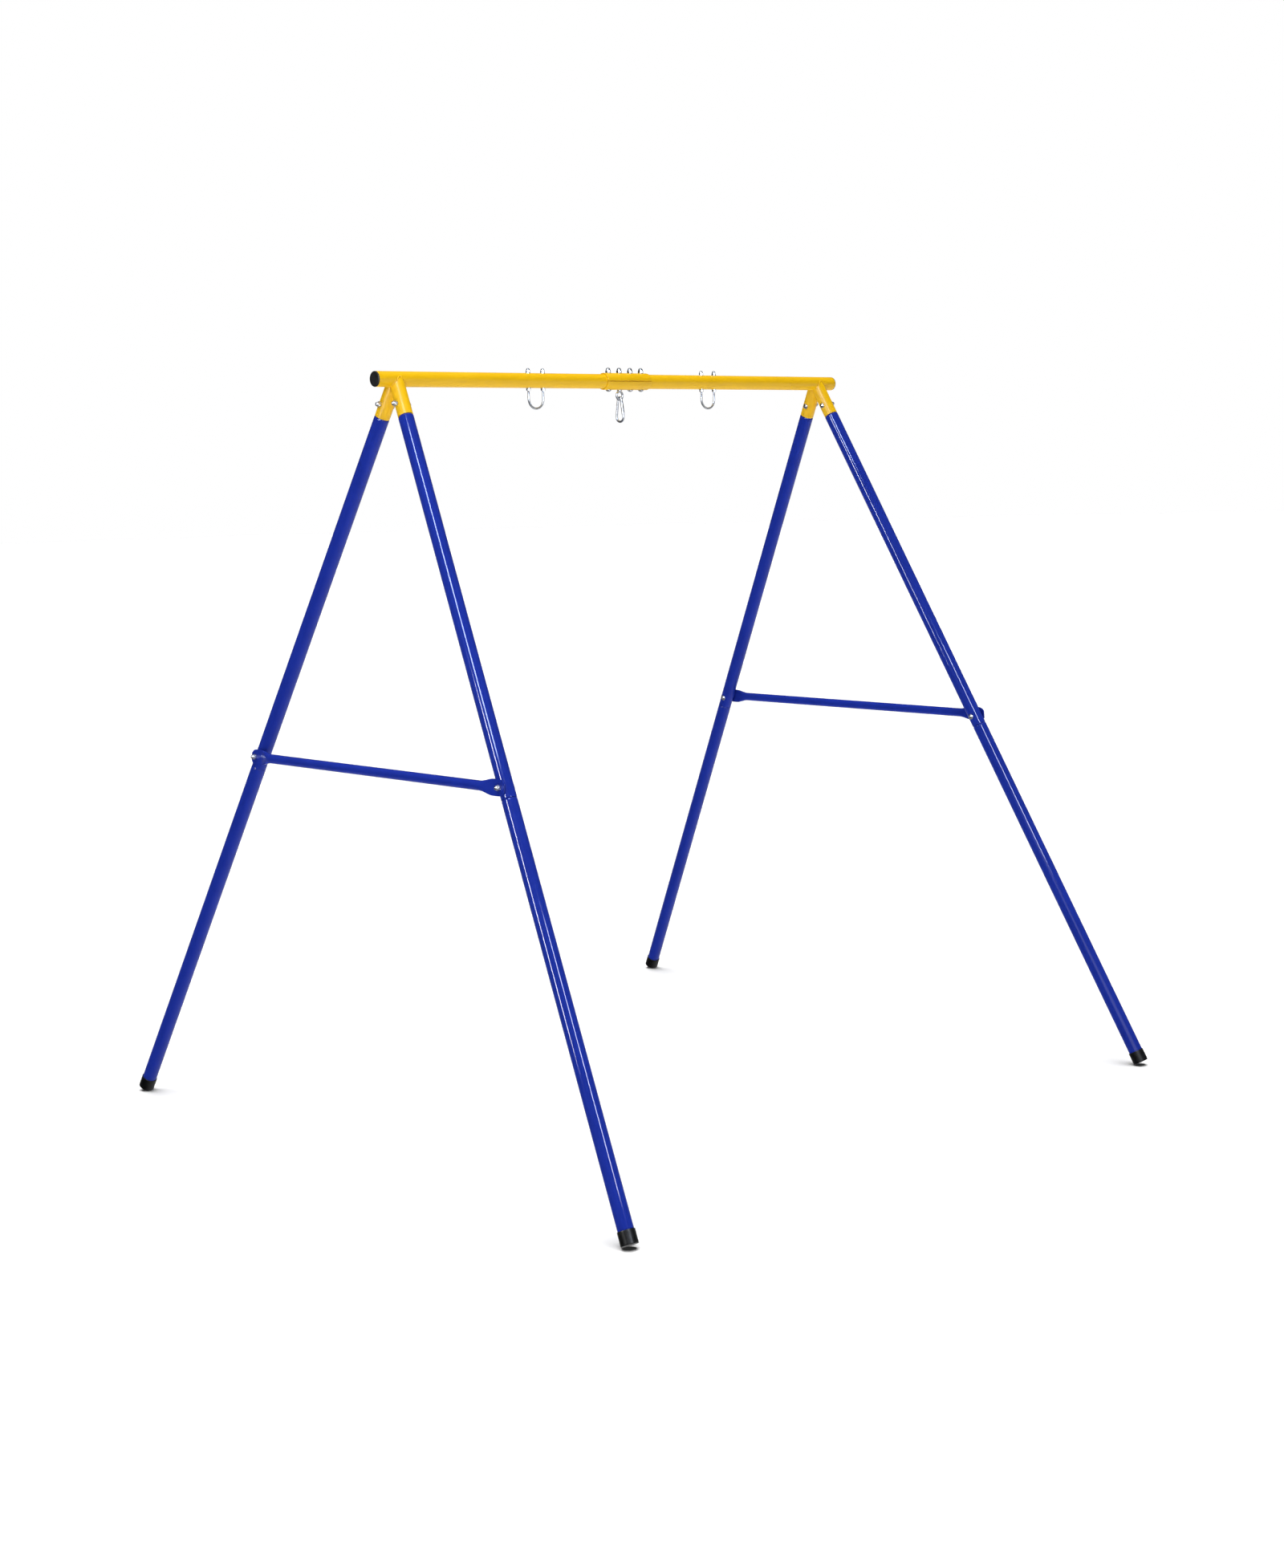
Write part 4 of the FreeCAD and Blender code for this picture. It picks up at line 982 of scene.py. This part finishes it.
# %% What the paint mirrors
scene = bpy.context.scene
world = bpy.data.worlds.new("dim_studio")
scene.world = world
world.use_nodes = True
sky = world.node_tree
sky.nodes.clear()
PALE_SIDE = (0.98, -0.17, 0.0)
direction = add(sky, "ShaderNodeTexCoord").outputs["Generated"]
height = add(sky, "ShaderNodeSeparateXYZ", links={"Vector": direction}).outputs["Z"]
towards = add(sky, "ShaderNodeVectorMath", {1: PALE_SIDE}, {0: direction}, operation="DOT_PRODUCT")
below = add(sky, "ShaderNodeMapRange", {"From Min": -0.7, "From Max": 0.7, "To Min": 0.0, "To Max": 0.7},
            {"Value": towards.outputs["Value"]})
is_above = add(sky, "ShaderNodeMapRange", {"From Min": -0.06, "From Max": 0.04}, {"Value": height})
overhead = add(sky, "ShaderNodeMapRange",
               {"From Min": 0.78, "From Max": 0.86, "To Min": 0.05, "To Max": 0.8}, {"Value": height})
level = add(sky, "ShaderNodeMix", links={"Factor": is_above.outputs["Result"], "A": below.outputs["Result"],
                                         "B": overhead.outputs["Result"]})
glow = add(sky, "ShaderNodeBackground", {"Color": (1, 1, 1, 1)}, {"Strength": level.outputs["Result"]})
add(sky, "ShaderNodeOutputWorld", links={"Surface": glow.outputs["Background"]})
scene.view_settings.view_transform = "Standard"
scene.view_settings.look = "None"

# %% [markdown]
# Three tall strip boxes draw the thin lines along the front legs, and a wide dim card brightens
# the metal. All four are seen only in reflections. Each is a flat lamp between two points, one above
# the other, turned to face the stand. A ceiling wash and one large soft box on the left are never
# mirrored, and give the light that the colours need.


# %% Lamps
def strip_box(name, low, high, target, width, radiance, colour="#FFFFFF"):
    """A tall flat lamp from one point to another, facing a third, with a given brightness."""
    low, high, target = Vector(low), Vector(high), Vector(target)
    middle = (low + high) / 2
    up = (high - low).normalized()
    back = middle - target
    back = (back - up * back.dot(up)).normalized()
    lamp_data = bpy.data.lights.new(name, "AREA")
    lamp_data.shape = "RECTANGLE"
    lamp_data.size, lamp_data.size_y = width, (high - low).length
    lamp_data.energy = radiance * math.pi * lamp_data.size * lamp_data.size_y
    lamp_data.color = paint(colour)[:3]
    lamp = bpy.data.objects.new(name, lamp_data)
    bpy.context.collection.objects.link(lamp)
    turn = Matrix((up.cross(back), up, back)).transposed().to_4x4()
    lamp.matrix_world = Matrix.Translation(middle) @ turn
    return lamp


strips = [
    strip_box("left_strip", (-4.5, -0.30, 1.25), (-4.5, -0.20, 3.0), (-0.9, -0.5, 1.0), 0.48, 40),
    strip_box("front_strip", (-3.17, -2.40, 3.6), (-3.19, -1.85, 5.2), (-0.85, -0.3, 1.4), 0.9, 36,
              "#CFE0FF"),
    strip_box("low_strip", (-1.24, -3.98, 2.1), (-1.22, -3.60, 3.2), (-0.1, -0.7, 0.6), 0.5, 38, "#E6EEFF"),
    strip_box("white_card", (-3.4, -6.6, 0.05), (-3.4, -6.6, 2.8), (0, 0, 1.5), 8.0, 1.3)]
for lamp in strips:
    lamp.visible_diffuse = False
soft_box = strip_box("large_soft_box", (-3.0, -1.9, 2.4), (-3.0, -1.9, 3.9), (-0.8, -0.2, 1.9), 1.5, 6.5)
soft_box.visible_glossy = False
wash_data = bpy.data.lights.new("ceiling_wash", "SUN")
wash_data.energy = 3.35
wash_data.angle = math.radians(50)
wash = bpy.data.objects.new("ceiling_wash", wash_data)
wash.visible_glossy = False
bpy.context.collection.objects.link(wash)

# %% [markdown]
# The camera stands at the left front corner, a little below the beam's height, and looks slightly
# down, so the beam runs nearly level while the legs spread below it. A camera starts looking
# straight down with its top towards +Y, so it is rolled about its own line of sight first, then
# tipped up from there, and last turned to its heading.

# %% Camera
CAMERA_PLACE = (-4.21, -4.366, 1.682)
CAMERA_HEADING = 45.87
CAMERA_DOWN = 8.04
CAMERA_ROLL = 1.5
camera_data = bpy.data.cameras.new("catalogue_camera")
camera_data.sensor_fit = "HORIZONTAL"
camera_data.sensor_width = 36
camera_data.lens = 62.8
camera = bpy.data.objects.new("catalogue_camera", camera_data)
bpy.context.collection.objects.link(camera)
heading = Matrix.Rotation(math.radians(CAMERA_HEADING - 90), 4, "Z")
tip_up = Matrix.Rotation(math.radians(90 - CAMERA_DOWN), 4, "X")
roll = Matrix.Rotation(math.radians(-CAMERA_ROLL), 4, "Z")
camera.matrix_world = Matrix.Translation(CAMERA_PLACE) @ heading @ tip_up @ roll
scene.camera = camera
print("camera at", [round(value, 2) for value in camera.matrix_world.translation])

# %% The size of the visual box
low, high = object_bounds()
print("visual box in mm:", [round(1000 * side, 1) for side in high - low])
